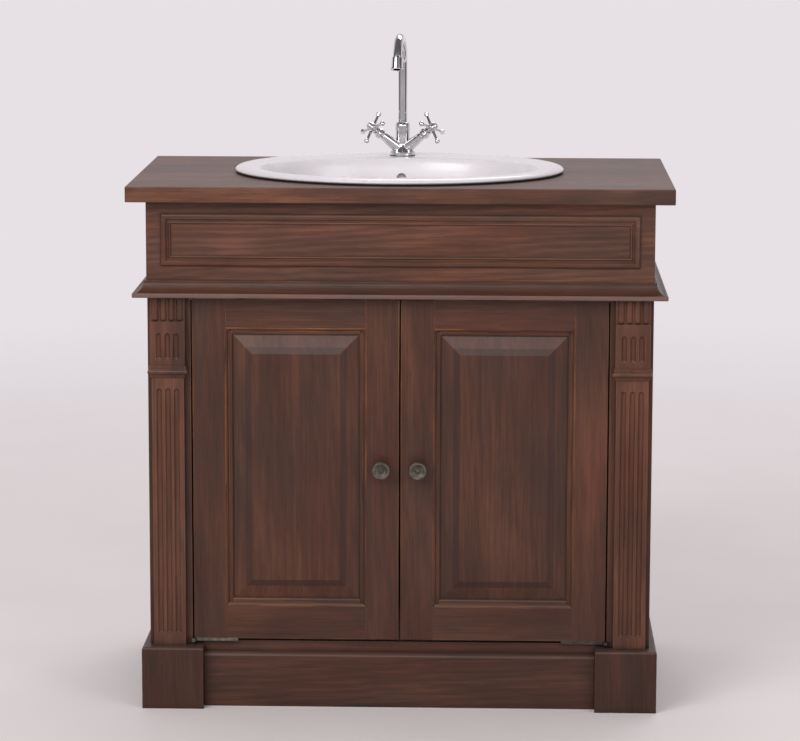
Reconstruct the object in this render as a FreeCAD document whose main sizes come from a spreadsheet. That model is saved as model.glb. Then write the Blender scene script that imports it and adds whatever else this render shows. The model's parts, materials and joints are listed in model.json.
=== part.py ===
import FreeCAD, Part
import math
import os
import Sketcher

# An oak washstand with panelled doors, fluted pilasters, an oval basin and a two-handle tap.
# Millimetres, +Z up, front towards -Y, origin on the floor under the middle of the countertop.

SIZES = {
    # Countertop
    "top_width": 900,
    "top_depth": 520,
    "top_thick": 26,
    "stand_height": 882,
    "top_edge_round": 2,
    "front_overhang": 31,
    "side_overhang": 31,
    "back_overhang": 10,
    # Case
    "board_thick": 18,
    "back_thick": 8,
    "rail_thick": 20,
    "rail_height": 60,
    "frieze_height": 159,
    "frieze_thick": 20,
    "stile_setback": 12,
    "stile_thick": 20,
    "stile_width": 71.5,
    "pipe_opening_width": 360,
    "pipe_opening_height": 170,
    "pipe_opening_drop": 68,
    "pipe_opening_round": 20,
    "wall_hole_radius": 4,
    "wall_hole_inset": 100,
    # Frieze moulding
    "moulding_side_margin": 24,
    "moulding_top_margin": 21,
    "moulding_bottom_margin": 51,
    "moulding_width": 17,
    "moulding_proud": 5,
    "moulding_bead": 4,
    # Cornice
    "cornice_height": 27,
    "cornice_reach": 22,
    "cornice_nose": 8,
    "cornice_step": 3,
    "cornice_fillet": 4,
    # Plinth and feet
    "plinth_height": 92,
    "plinth_thick": 20,
    "plinth_round": 6,
    "side_plinth_thick": 12,
    "foot_width": 103,
    "foot_height": 105,
    "foot_proud": 18,
    "foot_round": 4,
    "plinth_setback": 22,
    # Pilasters
    "shaft_width": 54,
    "shaft_proud": 12,
    "shaft_margin": 7,
    "flute_radius": 5,
    "flute_pitch": 14.5,
    "flute_depth": 3.5,
    "flute_stop": 24,
    "capital_width": 58,
    "capital_proud": 15,
    "capital_height": 116,
    "reed_radius": 6,
    "reed_pitch": 13.5,
    "reed_length": 36,
    "reed_recess": 4,
    "short_flute_bottom": 14,
    "short_flute_length": 46,
    "astragal_height": 19,
    "astragal_nose": 8,
    "astragal_foot": 5,
    "astragal_width": 66,
    "astragal_proud": 20,
    "astragal_round": 3.6,
    "astragal_slip": 2,
    # Doors
    "door_side_gap": 2.5,
    "door_middle_gap": 3,
    "door_thick": 20,
    "door_stile_width": 55,
    "door_top_rail": 49,
    "door_bottom_rail": 57,
    "sticking_width": 11.5,
    "sticking_quirk": 1.5,
    "sticking_round": 4.5,
    "sticking_bead": 3,
    "sticking_depth": 10,
    "groove_width": 6.3,
    "groove_depth": 10,
    "panel_tongue": 6,
    "panel_play": 1,
    "bevel_width": 20,
    "bevel_rise": 4,
    "step_width": 11,
    "step_rise": 3.4,
    "knob_inset": 29,
    "knob_height": 408.5,
    "knob_radius": 15.5,
    "knob_reach": 26,
    "knob_neck": 6,
    "knob_rose": 9,
    "knob_rim": 6,
    "knob_boss": 4,
    "knob_dish": 2.5,
    # Hinges and catches
    "hinge_thick": 2.5,
    "hinge_play": 0.2,
    "hinge_length": 75,
    "hinge_width": 12,
    "hinge_eye": 4.5,
    "hinge_pin": 2.5,
    "hinge_clearance": 0.05,
    "hinge_forward": 5,
    "catch_length": 40,
    "catch_depth": 15,
    "catch_height": 21,
    "catch_inset": 70,
    "strike_thick": 1.5,
    "strike_height": 14,
    "strike_gap": 0.3,
    # Basin
    "basin_shift": -8,
    "basin_width": 560,
    "basin_front_margin": 24,
    "basin_back_margin": 20,
    "basin_seal_thick": 2,
    "basin_seal_width": 12,
    "rim_height": 9,
    "rim_edge": 6,
    "rim_slope": 1.5,
    "bowl_side_margin": 44,
    "bowl_front_margin": 35,
    "bowl_back_margin": 110,
    "bowl_drop": 168,
    "bowl_floor_radius": 40,
    "bowl_wall": 10,
    "cutout_margin": 18,
    "overflow_radius": 8,
    "overflow_drop": 34,
    "overflow_duct": 15,
    # Tap
    "tap_back_margin": 60,
    "tap_hole_radius": 17.5,
    "tap_seal_thick": 1.5,
    "tap_base_radius": 22,
    "tap_waist_radius": 12.5,
    "tap_body_height": 44,
    "tap_base_height": 5,
    "arm_root_height": 6,
    "arm_root_radius": 11.5,
    "arm_end_radius": 7,
    "arm_length": 48,
    "arm_rise_angle": 37,
    "arm_forward_angle": 25.5,
    "bonnet_radius": 9.5,
    "bonnet_length": 16,
    "stem_radius": 4,
    "stem_length": 10,
    "inlet_radius": 5,
    "inlet_length": 10,
    "inlet_spread": 7.5,
    "inlet_forward": 4,
    "stud_radius": 4,
    "stud_length": 75,
    "stud_back": 10,
    "stud_bite": 10,
    "clamp_radius": 26,
    "clamp_thick": 4,
    "clamp_nut_radius": 7.5,
    "clamp_nut_height": 7,
    "collar_radius": 13,
    "collar_height": 13,
    "tube_radius": 8,
    "tube_wall": 1.2,
    "spout_rise": 118,
    "spout_radius": 45,
    "spout_sweep_angle": 160,
    "spout_turn_angle": 4.5,
    "spout_socket": 10,
    "aerator_radius": 10,
    "aerator_length": 23,
    "aerator_lip": 3,
    "running_clearance": 0.05,
    "handle_hub_radius": 8,
    "handle_hub_height": 15,
    "handle_arm_length": 34,
    "handle_arm_root": 3.2,
    "handle_arm_neck": 2.4,
    "handle_arm_ball": 4.6,
    "handle_gap": 0.4,
    "handle_rest_angle": 42,
    "cap_radius": 6,
    "cap_height": 3,
    "cap_dome": 1.5,
    # Waste and trap
    "waste_flange_radius": 31.5,
    "waste_flange_thick": 3,
    "waste_thread_radius": 21,
    "waste_hole_radius": 23,
    "waste_length": 64,
    "waste_tail_radius": 16,
    "waste_tail_length": 26,
    "waste_wall": 2,
    "waste_guide_radius": 7,
    "waste_guide_height": 12,
    "waste_guide_drop": 20,
    "waste_spoke": 3,
    "waste_seal_radius": 30,
    "waste_seal_thick": 4,
    "waste_nut_radius": 30,
    "waste_nut_height": 10,
    "plug_radius": 30,
    "plug_thick": 4,
    "plug_dome": 2,
    "plug_lift": 0.5,
    "plug_stem_radius": 4,
    "plug_stem_length": 44,
    "trap_collar_radius": 24,
    "trap_radius": 31,
    "trap_height": 80,
    "trap_shoulder": 12,
    "trap_cup_radius": 28,
    "trap_cup_height": 34,
    "trap_cup_neck": 10,
    "trap_outlet_radius": 16,
    "trap_outlet_wall": 2,
    "trap_outlet_bite": 8,
    # Room that cuts run past what they cut
    "overrun": 5,
}

# Shares of the bowl's drop, width and floor that shape its wall, from the rim to the floor
BOWL_LEVEL_SHARES = (0.03, 0.22, 0.56, 0.88, 1)
BOWL_FULL_SHARES = (0.985, 0.93, 0.76, 0.42, 0)
# Height of the tap's concave waist as a share of how far it draws in
WAIST_RISE_SHARE = 1.5

doc = FreeCAD.newDocument("Washstand")
sheet = doc.addObject("Spreadsheet::Sheet", "Sizes")
for row, (alias, number) in enumerate(SIZES.items(), start=1):
    sheet.set(f"A{row}", alias)
    sheet.set(f"B{row}", str(number))
    sheet.setAlias(f"B{row}", alias)
doc.recompute()


class Size:
    """A length from the sheet, or a sum of such lengths, as a number and as an expression."""

    def __init__(self, value, text):
        self.value = value
        self.text = text

    def __add__(self, other):
        return Size(self.value + value_of(other), f"({self.text} + {text_of(other)})")

    def __sub__(self, other):
        return Size(self.value - value_of(other), f"({self.text} - {text_of(other)})")

    def __rsub__(self, other):
        return Size(value_of(other) - self.value, f"({text_of(other)} - {self.text})")

    def __mul__(self, other):
        return Size(self.value * value_of(other), f"({self.text} * {text_of(other)})")

    def __truediv__(self, other):
        return Size(self.value / value_of(other), f"({self.text} / {text_of(other)})")

    def __neg__(self):
        return Size(-self.value, f"(0 - {self.text})")

    __radd__ = __add__
    __rmul__ = __mul__


def value_of(length):
    return length.value if isinstance(length, Size) else length


def text_of(length):
    return length.text if isinstance(length, Size) else repr(length)


class Sheet:
    """Gives each cell of the sheet as a Size, by its alias."""

    def __getattr__(self, alias):
        return Size(float(sheet.get(alias)), f"Sizes.{alias}")


size = Sheet()
parts = {}


# Helpers


def bind(item, **lengths):
    """Tie properties of a document object to the sheet."""
    for name, length in lengths.items():
        if isinstance(length, Size):
            item.setExpression(name, length.text)
        else:
            setattr(item, name, length)


def place(item, x=0, y=0, z=0, turn=None):
    """Put a document object at a place worked out from the sheet."""
    turn = turn or FreeCAD.Rotation()
    item.Placement = FreeCAD.Placement(FreeCAD.Vector(value_of(x), value_of(y), value_of(z)), turn)
    for axis, length in (("x", x), ("y", y), ("z", z)):
        if isinstance(length, Size):
            item.setExpression(f"Placement.Base.{axis}", length.text)
    return item


def keep(item, label):
    """Name a finished sub-part, which is then written to its own file."""
    item.Label = label
    parts[label] = item
    return item


def new(kind, name, **lengths):
    item = doc.addObject(kind, name)
    bind(item, **lengths)
    return item


def box(name, low, high):
    """A box between two corners."""
    sides = [far - near for near, far in zip(low, high)]
    item = new("Part::Box", name, Length=sides[0], Width=sides[1], Height=sides[2])
    return place(item, *low)


def cylinder(name, radius, height, at, turn=None):
    return place(new("Part::Cylinder", name, Radius=radius, Height=height), *at, turn=turn)


def cone(name, radius, end_radius, height, at, turn=None):
    return place(new("Part::Cone", name, Radius1=radius, Radius2=end_radius, Height=height), *at, turn=turn)


def sphere(name, radius, at):
    return place(new("Part::Sphere", name, Radius=radius), *at)


def fuse(name, *shapes):
    item = doc.addObject("Part::MultiFuse", name)
    item.Shapes = list(shapes)
    item.Refine = True
    return item


def cut(name, base, *tools):
    """Take one or more tools out of a base."""
    item = doc.addObject("Part::Cut", name)
    item.Base = base
    item.Tool = tools[0] if len(tools) == 1 else group(f"{name}_tools", *tools)
    return item


def group(name, *links):
    item = doc.addObject("Part::Compound", name)
    item.Links = list(links)
    return item


def new_body(name):
    return doc.addObject("PartDesign::Body", name)


def origin_part(body, role):
    return next(part for part in body.Origin.OriginFeatures if part.Role == role)


def arc_between(start, end, radius):
    """A minor arc, counter-clockwise for a positive radius."""
    middle = (start + end) / 2
    chord = end - start
    reach = math.sqrt(max(radius**2 - (chord.Length / 2) ** 2, 0))
    side = FreeCAD.Vector(-chord.y, chord.x, 0).normalize() * math.copysign(reach, radius)
    centre = middle + side
    first, last = (start, end) if radius > 0 else (end, start)
    angles = [math.atan2(point.y - centre.y, point.x - centre.x) for point in (first, last)]
    circle = Part.Circle(centre, FreeCAD.Vector(0, 0, 1), abs(radius))
    return Part.ArcOfCircle(circle, *angles)


def draw(body, role, name, outline):
    """Draw a closed outline of corners. A third value bends the edge that leaves a corner."""
    sketch = body.newObject("Sketcher::SketchObject", name)
    sketch.AttachmentSupport = [(origin_part(body, role), "")]
    sketch.MapMode = "FlatFace"
    points = [FreeCAD.Vector(value_of(corner[0]), value_of(corner[1]), 0) for corner in outline]
    starts, ends = [], []
    for index, corner in enumerate(outline):
        start, end = points[index], points[(index + 1) % len(points)]
        bent = len(corner) == 3
        edge = arc_between(start, end, value_of(corner[2])) if bent else Part.LineSegment(start, end)
        sketch.addGeometry(edge, False)
        turned = bent and value_of(corner[2]) < 0
        starts.append(2 if turned else 1)
        ends.append(1 if turned else 2)
    for index, corner in enumerate(outline):
        after = (index + 1) % len(outline)
        sketch.addConstraint(Sketcher.Constraint("Coincident", index, ends[index], after, starts[after]))
        for kind, length in (("DistanceX", corner[0]), ("DistanceY", corner[1])):
            limit(sketch, Sketcher.Constraint(kind, index, starts[index], value_of(length)), length)
        if len(corner) == 3:
            radius = corner[2] if value_of(corner[2]) > 0 else -corner[2]
            limit(sketch, Sketcher.Constraint("Radius", index, value_of(radius)), radius)
    return sketch


def limit(sketch, constraint, length):
    """Add a dimension to a sketch and tie it to the sheet."""
    index = sketch.addConstraint(constraint)
    if isinstance(length, Size):
        sketch.setExpression(f"Constraints[{index}]", length.text)


def pad(body, sketch, length, name="Pad", reverse=False):
    feature = body.newObject("PartDesign::Pad", name)
    feature.Profile = sketch
    bind(feature, Length=length)
    feature.Reversed = reverse
    body.Tip = feature
    return feature


def pocket(body, sketch, length, name="Pocket"):
    """Cut a sketch out of a body, as far on both sides of its plane."""
    feature = body.newObject("PartDesign::Pocket", name)
    feature.Profile = sketch
    feature.Midplane = True
    bind(feature, Length=length)
    body.Tip = feature
    return feature


def turn_solid(body, sketch, name="Revolution", axis="V_Axis"):
    feature = body.newObject("PartDesign::Revolution", name)
    feature.Profile = sketch
    feature.ReferenceAxis = (sketch, [axis])
    feature.Angle = 360
    body.Tip = feature
    return feature


def turned(name, outline):
    """A turned piece: an outline of radius and height, spun about the upright axis."""
    body = new_body(name)
    turn_solid(body, draw(body, "XZ_Plane", f"{name}_outline", outline))
    return body


def round_edges(body, feature, radius, wanted):
    """Round the edges of a feature whose middle point passes the wanted test."""
    doc.recompute()
    names = [
        f"Edge{index}"
        for index, edge in enumerate(feature.Shape.Edges, start=1)
        if wanted(edge.CenterOfMass, edge)
    ]
    fillet = body.newObject("PartDesign::Fillet", "Fillet")
    fillet.Base = (feature, names)
    bind(fillet, Radius=radius)
    body.Tip = fillet
    return fillet


# Levels and planes that pieces share

SIDES = (("left", -1), ("right", 1))
slack = value_of(size.overrun / 10)
QUARTER = FreeCAD.Rotation(FreeCAD.Vector(0, 0, 1), 90)
BACK_QUARTER = FreeCAD.Rotation(FreeCAD.Vector(0, 0, 1), -90)

top_front = -(size.top_depth / 2)
top_back = size.top_depth / 2
top_under = size.stand_height - size.top_thick
case_half = size.top_width / 2 - size.side_overhang
case_back = top_back - size.back_overhang
inner_half = case_half - size.board_thick
opening_half = case_half - size.stile_width
frieze_face = top_front + size.front_overhang
frieze_back = frieze_face + size.frieze_thick
frieze_bottom = top_under - size.frieze_height
stile_face = frieze_face + size.stile_setback
stile_back = stile_face + size.stile_thick
floor_top = size.plinth_height + size.board_thick
foot_face = frieze_face - size.foot_proud
foot_outer = case_half + size.side_plinth_thick
foot_inner = foot_outer - size.foot_width
plinth_face = foot_face + size.plinth_setback
basin_x = size.basin_shift
basin_half_y = (size.top_depth - size.basin_front_margin - size.basin_back_margin) / 2
basin_y = top_back - size.basin_back_margin - basin_half_y


def mirrored(side, near, far):
    """Low and high x of a piece that runs from near to far on one side of the middle."""
    return (near, far) if side > 0 else (-far, -near)


def rectangle(half_width, half_depth):
    return (
        (-half_width, -half_depth),
        (half_width, -half_depth),
        (half_width, half_depth),
        (-half_width, half_depth),
    )


def ellipse(name, half_width, half_depth, x, y, z):
    """An upright ellipse with its long axis along x."""
    return place(new("Part::Ellipse", name, MajorRadius=half_width, MinorRadius=half_depth), x, y, z)


def oval_prism(name, half_width, half_depth, x, y, low, high):
    item = doc.addObject("Part::Extrusion", name)
    item.Base = ellipse(f"{name}_oval", half_width, half_depth, x, y, low)
    item.DirMode = "Custom"
    item.Dir = FreeCAD.Vector(0, 0, 1)
    item.Solid = True
    bind(item, LengthFwd=high - low)
    return item


# Case


def make_countertop():
    body = new_body("countertop_blank")
    outline = rectangle(size.top_width / 2, size.top_depth / 2)
    board = pad(body, draw(body, "XY_Plane", "countertop_outline", outline), size.top_thick)
    round_edges(body, board, size.top_edge_round, lambda middle, edge: True)
    place(body, z=top_under)
    hole = oval_prism(
        "countertop_hole",
        size.basin_width / 2 - size.cutout_margin,
        basin_half_y - size.cutout_margin,
        basin_x,
        basin_y,
        top_under - size.overrun,
        size.stand_height + size.overrun,
    )
    keep(cut("countertop_cut", body, hole), "countertop")


def make_side_panels():
    outline = (
        (stile_back, 0),
        (case_back, 0),
        (case_back, top_under),
        (frieze_back, top_under),
        (frieze_back, frieze_bottom),
        (stile_back, frieze_bottom),
    )
    for name, side in SIDES:
        body = new_body(f"{name}_side_body")
        pad(body, draw(body, "YZ_Plane", f"{name}_side_outline", outline), size.board_thick)
        place(body, x=mirrored(side, inner_half, case_half)[0])
        keep(body, f"{name}_side_panel")


def make_bottom_board():
    body = new_body("bottom_body")
    board_back = case_back - size.back_thick
    outline = (
        (-opening_half, frieze_back),
        (opening_half, frieze_back),
        (opening_half, stile_back),
        (inner_half, stile_back),
        (inner_half, board_back),
        (-inner_half, board_back),
        (-inner_half, stile_back),
        (-opening_half, stile_back),
    )
    pad(body, draw(body, "XY_Plane", "bottom_outline", outline), size.board_thick)
    place(body, z=size.plinth_height)
    keep(body, "bottom_board")


def make_back():
    rail_bottom = top_under - size.rail_height
    body = new_body("back_body")
    outline = ((-inner_half, 0), (inner_half, 0), (inner_half, rail_bottom), (-inner_half, rail_bottom))
    pad(body, draw(body, "XZ_Plane", "back_outline", outline), size.back_thick)
    left = basin_x - size.pipe_opening_width / 2
    right = basin_x + size.pipe_opening_width / 2
    low = outlet_level - size.pipe_opening_drop
    high = low + size.pipe_opening_height
    bend = size.pipe_opening_round
    opening = (
        (left + bend, low),
        (right - bend, low, bend),
        (right, low + bend),
        (right, high - bend, bend),
        (right - bend, high),
        (left + bend, high, bend),
        (left, high - bend),
        (left, low + bend, bend),
    )
    pocket(body, draw(body, "XZ_Plane", "pipe_opening", opening), (size.back_thick + size.overrun) * 2)
    place(body, y=case_back)
    keep(body, "back_panel")
    rail = box(
        "back_rail_blank",
        (-inner_half, case_back - size.rail_thick, rail_bottom),
        (inner_half, case_back, top_under),
    )
    holes = [
        cylinder(
            f"{name}_wall_hole",
            size.wall_hole_radius,
            size.rail_thick + size.overrun * 2,
            (
                (inner_half - size.wall_hole_inset) * side,
                case_back + size.overrun,
                top_under - size.rail_height / 2,
            ),
            FreeCAD.Rotation(FreeCAD.Vector(1, 0, 0), 90),
        )
        for name, side in SIDES
    ]
    keep(cut("back_rail_cut", rail, *holes), "back_top_rail")


def make_front():
    rail = box(
        "front_rail",
        (-inner_half, frieze_back, frieze_bottom),
        (inner_half, frieze_back + size.rail_thick, frieze_bottom + size.rail_height),
    )
    keep(rail, "front_top_rail")
    frieze = box("frieze", (-case_half, frieze_face, frieze_bottom), (case_half, frieze_back, top_under))
    keep(frieze, "frieze_board")
    for name, side in SIDES:
        low, high = mirrored(side, opening_half, case_half)
        stile = box(
            f"{name}_stile_box",
            (low, stile_face, size.foot_height),
            (high, stile_back, frieze_bottom),
        )
        keep(stile, f"{name}_stile")


def make_frieze_moulding():
    body = new_body("moulding_body")
    half = case_half - size.moulding_side_margin
    low = frieze_bottom + size.moulding_bottom_margin
    high = top_under - size.moulding_top_margin
    bead = size.moulding_bead
    flat = size.moulding_proud - bead
    inner = low + size.moulding_width
    route = ((0, low), (half, low), (half, high), (-half, high), (-half, low))
    profile = (
        (0, low),
        (-flat, low, -bead),
        (-size.moulding_proud, low + bead),
        (-size.moulding_proud, low + size.moulding_width / 2),
        (-flat, low + size.moulding_width / 2),
        (-flat, inner - bead, -(bead / 2)),
        (-flat - bead / 2, inner - bead / 2, -(bead / 2)),
        (-flat, inner),
        (0, inner),
    )
    pipe = body.newObject("PartDesign::AdditivePipe", "moulding_pipe")
    pipe.Profile = draw(body, "YZ_Plane", "moulding_profile", profile)
    pipe.Spine = draw(body, "XZ_Plane", "moulding_route", route)
    pipe.Transition = "Right corner"
    body.Tip = pipe
    place(body, y=frieze_face)
    keep(body, "frieze_moulding")


def make_cornice(label, length, at, turn, mitred_ends):
    """One length of cornice, its back along local x, with a mitre at each named end."""
    reach = size.cornice_reach
    nose = size.cornice_nose
    corner = nose / 4
    fillet = size.cornice_fillet
    height = size.cornice_height
    profile = (
        (0, 0),
        (corner - reach, 0, -corner),
        (-reach, corner),
        (-reach, nose - corner, -corner),
        (corner - reach, nose),
        (nose / 2 + size.cornice_step - reach, nose, reach),
        (-fillet, height - fillet),
        (-fillet, height),
        (0, height),
    )
    body = new_body(f"{label}_body")
    pad(body, draw(body, "YZ_Plane", f"{label}_profile", profile), length)
    past = size.overrun
    waste_wood = {
        "start": ((-past, -reach - past), (reach + past, past), (-past, past)),
        "end": ((length + past, -reach - past), (length + past, past), (length - reach - past, past)),
    }
    for end in mitred_ends:
        sketch = draw(body, "XY_Plane", f"{label}_{end}_mitre", waste_wood[end])
        pocket(body, sketch, (height + past) * 2, f"{label}_{end}_cut")
    place(body, *at, turn=turn)
    keep(body, label)


def make_cornices():
    reach = size.cornice_reach
    depth = case_back - frieze_face + reach
    front_at = (-case_half - reach, frieze_face, frieze_bottom)
    make_cornice("cornice_front", (case_half + reach) * 2, front_at, None, ("start", "end"))
    make_cornice("cornice_right", depth, (case_half, frieze_face - reach, frieze_bottom), QUARTER, ("start",))
    make_cornice("cornice_left", depth, (-case_half, case_back, frieze_bottom), BACK_QUARTER, ("end",))


# Plinth and pilasters


def make_feet():
    depth = frieze_back - foot_face
    for name, side in SIDES:
        body = new_body(f"{name}_foot_body")
        outline = rectangle(size.foot_width / 2, depth / 2)
        block = pad(body, draw(body, "XY_Plane", f"{name}_foot_outline", outline), size.foot_height)
        place(body, (foot_outer - size.foot_width / 2) * side, foot_face + depth / 2, 0)
        rear = value_of(depth / 2)
        crown = value_of(size.foot_height)
        round_edges(
            body,
            block,
            size.foot_round,
            lambda middle, edge: middle.z > crown - slack and middle.y < rear - slack,
        )
        keep(body, f"{name}_foot")


def make_plinths():
    bend = size.plinth_round
    body = new_body("plinth_front_body")
    profile = (
        (0, 0),
        (size.plinth_thick, 0),
        (size.plinth_thick, size.plinth_height),
        (bend, size.plinth_height, bend),
        (0, size.plinth_height - bend),
    )
    pad(body, draw(body, "YZ_Plane", "plinth_front_profile", profile), foot_inner * 2)
    place(body, -foot_inner, plinth_face, 0)
    keep(body, "plinth_front")
    for name, side in SIDES:
        body = new_body(f"plinth_{name}_body")
        thick = size.side_plinth_thick * side
        bend_x = size.foot_round * side
        crown = size.foot_height
        profile = (
            (0, 0),
            (thick, 0),
            (thick, crown - size.foot_round, size.foot_round * side),
            (thick - bend_x, crown),
            (0, crown),
        )
        sketch = draw(body, "XZ_Plane", f"plinth_{name}_profile", profile)
        pad(body, sketch, case_back - frieze_back)
        place(body, case_half * side, case_back, 0)
        keep(body, f"plinth_{name}")


def flute(name, x, face, low, high):
    """A round-ended flute cut into an upright face."""
    centre = face - (size.flute_radius - size.flute_depth)
    return fuse(
        name,
        cylinder(f"{name}_run", size.flute_radius, high - low, (x, centre, low)),
        sphere(f"{name}_foot", size.flute_radius, (x, centre, low)),
        sphere(f"{name}_head", size.flute_radius, (x, centre, high)),
    )


def make_pilasters():
    shaft_top = frieze_bottom - size.capital_height - size.astragal_height
    face = stile_face - size.shaft_proud
    for name, side in SIDES:
        low, high = mirrored(
            side,
            case_half - size.shaft_margin - size.shaft_width,
            case_half - size.shaft_margin,
        )
        middle = (low + high) / 2
        shaft = box(f"{name}_shaft", (low, face, size.foot_height), (high, stile_face, shaft_top))
        flutes = [
            flute(
                f"{name}_flute_{place_name}",
                middle + size.flute_pitch * step,
                face,
                size.foot_height + size.flute_stop,
                shaft_top - size.flute_stop,
            )
            for place_name, step in (("a", -1), ("b", 0), ("c", 1))
        ]
        keep(cut(f"{name}_shaft_cut", shaft, *flutes), f"{name}_pilaster")
        make_capital(name, middle, shaft_top)


def tier(name, middle, half_width, proud, low, high):
    """One plain tier of a capital, standing out from the stile."""
    return box(name, (middle - half_width, stile_face - proud, low), (middle + half_width, stile_face, high))


def make_capital(name, middle, bottom):
    face = stile_face - size.capital_proud
    half = size.capital_width / 2
    nose_low = bottom + size.astragal_foot
    nose_high = nose_low + size.astragal_nose
    block_low = bottom + size.astragal_height
    block = tier(f"{name}_block", middle, half, size.capital_proud, nose_high, frieze_bottom)
    foot = tier(f"{name}_neck", middle, half, size.capital_proud, bottom, nose_low)
    slip = tier(
        f"{name}_slip",
        middle,
        half + size.astragal_slip,
        size.capital_proud + size.astragal_slip,
        nose_high,
        block_low,
    )
    nose = new_body(f"{name}_nose")
    outline = rectangle(size.astragal_width / 2, size.astragal_proud / 2)
    bar = pad(nose, draw(nose, "XY_Plane", f"{name}_nose_outline", outline), size.astragal_nose)
    place(nose, middle, stile_face - size.astragal_proud / 2, nose_low)
    rear = value_of(size.astragal_proud / 2)
    level = value_of(size.astragal_nose / 2)
    round_edges(
        nose,
        bar,
        size.astragal_round,
        lambda point, edge: point.y < rear - slack and abs(point.z - level) > slack,
    )
    reed_foot = frieze_bottom - size.reed_length
    recess = box(
        f"{name}_recess",
        (middle - half - size.overrun, face - size.overrun, reed_foot - size.reed_radius),
        (middle + half + size.overrun, face + size.reed_recess, frieze_bottom + size.overrun),
    )
    reeds = []
    for index, step in enumerate((-1.5, -0.5, 0.5, 1.5)):
        at = (middle + size.reed_pitch * step, face + size.reed_radius, reed_foot)
        reeds.append(cylinder(f"{name}_reed_{index}", size.reed_radius, size.reed_length, at))
        reeds.append(sphere(f"{name}_reed_end_{index}", size.reed_radius, at))
    flute_low = block_low + size.short_flute_bottom
    flutes = [
        flute(
            f"{name}_short_flute_{place_name}",
            middle + size.flute_pitch * step,
            face,
            flute_low,
            flute_low + size.short_flute_length - size.flute_radius * 2,
        )
        for place_name, step in (("a", -1), ("b", 0), ("c", 1))
    ]
    carved = cut(f"{name}_carved", block, recess, *flutes)
    keep(fuse(f"{name}_capital_whole", carved, foot, slip, nose, *reeds), f"{name}_capital")


# Doors, hinges and catches

hinge_stack = size.hinge_thick * 2 + size.hinge_play
door_bottom = floor_top + hinge_stack
door_top = frieze_bottom - hinge_stack
door_outer = opening_half - size.door_side_gap
door_inner = size.door_middle_gap / 2
hinge_x = opening_half - size.door_side_gap / 2
hinge_y = stile_face - size.hinge_forward


def frame_section(width):
    """Section of a door frame member: distance from its plain edge, depth behind its face, bend."""
    edge = width + size.sticking_width
    floor = size.sticking_quirk + size.sticking_round
    bead = size.sticking_bead
    groove_floor = edge - size.groove_depth
    groove_back = size.sticking_depth + size.groove_width
    return (
        (0, 0, 0),
        (width, 0, 0),
        (width, size.sticking_quirk, size.sticking_round),
        (width + size.sticking_round, floor, 0),
        (edge - bead, floor, bead),
        (edge, floor + bead, 0),
        (edge, size.sticking_depth, 0),
        (groove_floor, size.sticking_depth, 0),
        (groove_floor, groove_back, 0),
        (edge, groove_back, 0),
        (edge, size.door_thick, 0),
        (0, size.door_thick, 0),
    )


def corner(first, second, bend):
    return (first, second, bend) if isinstance(bend, Size) else (first, second)


def make_door_stile(name, edge, direction):
    """An upright member whose plain edge is at one x and whose moulded edge faces the direction."""
    body = new_body(name)
    outline = [
        corner(edge + across * direction, stile_face + depth, bend * direction if bend else 0)
        for across, depth, bend in frame_section(size.door_stile_width)
    ]
    pad(body, draw(body, "XY_Plane", f"{name}_section", outline), door_top - door_bottom)
    return place(body, z=door_bottom)


def make_door_rail(name, width, edge, direction, low, high):
    """A level member between two x, whose moulded edge faces up or down."""
    body = new_body(name)
    outline = [
        corner(stile_face + depth, edge + across * direction, bend * -direction if bend else 0)
        for across, depth, bend in frame_section(width)
    ]
    pad(body, draw(body, "YZ_Plane", f"{name}_section", outline), high - low)
    return place(body, x=low)


def panel_layer(name, side, margin, back, rise, inset):
    """A layer of the raised panel that narrows towards the front by an inset all round."""
    low, high = mirrored(
        side,
        door_inner + size.door_stile_width + margin,
        door_outer - size.door_stile_width - margin,
    )
    bottom = door_bottom + size.door_bottom_rail + margin
    top = door_top - size.door_top_rail - margin
    return new(
        "Part::Wedge",
        name,
        Xmin=low + inset,
        Xmax=high - inset,
        Zmin=bottom + inset,
        Zmax=top - inset,
        Ymin=back - rise,
        Ymax=back,
        X2min=low,
        X2max=high,
        Z2min=bottom,
        Z2max=top,
    )


def make_door_panel(name, side):
    play = (size.groove_width - size.panel_tongue) / 2
    front = stile_face + size.sticking_depth + play
    tongue_margin = size.sticking_width - size.groove_depth + size.panel_play
    bevel_margin = size.sticking_width + size.panel_play
    step_margin = bevel_margin + size.bevel_width
    tongue_back = front + size.panel_tongue
    tongue = panel_layer(f"{name}_tongue", side, tongue_margin, tongue_back, size.panel_tongue, 0)
    bevel = panel_layer(f"{name}_bevel", side, bevel_margin, front, size.bevel_rise, size.bevel_width)
    step_back = front - size.bevel_rise
    step = panel_layer(f"{name}_step", side, step_margin, step_back, size.step_rise, size.step_width)
    keep(fuse(f"{name}_panel_whole", tongue, bevel, step), f"{name}_door_panel")


def make_knob(name, side):
    reach = size.knob_reach
    rim_back = reach - size.knob_rim
    edge = size.knob_rim / 3
    face = reach - size.knob_dish
    outline = (
        (0, 0),
        (size.knob_rose, 0),
        (size.knob_rose, edge),
        (size.knob_neck, edge * 2),
        (size.knob_neck, rim_back - edge * 2),
        (size.knob_radius, rim_back),
        (size.knob_radius, reach - edge, edge),
        (size.knob_radius - edge, reach),
        (size.knob_radius - edge * 2, reach),
        (size.knob_boss + edge, face),
        (size.knob_boss, face, size.knob_dish),
        (size.knob_boss - size.knob_dish, reach),
        (0, reach),
    )
    knob = turned(f"{name}_knob_body", outline)
    place(
        knob,
        (door_inner + size.knob_inset) * side,
        stile_face,
        size.knob_height,
        turn=FreeCAD.Rotation(FreeCAD.Vector(1, 0, 0), 90),
    )
    keep(knob, f"{name}_knob")


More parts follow.
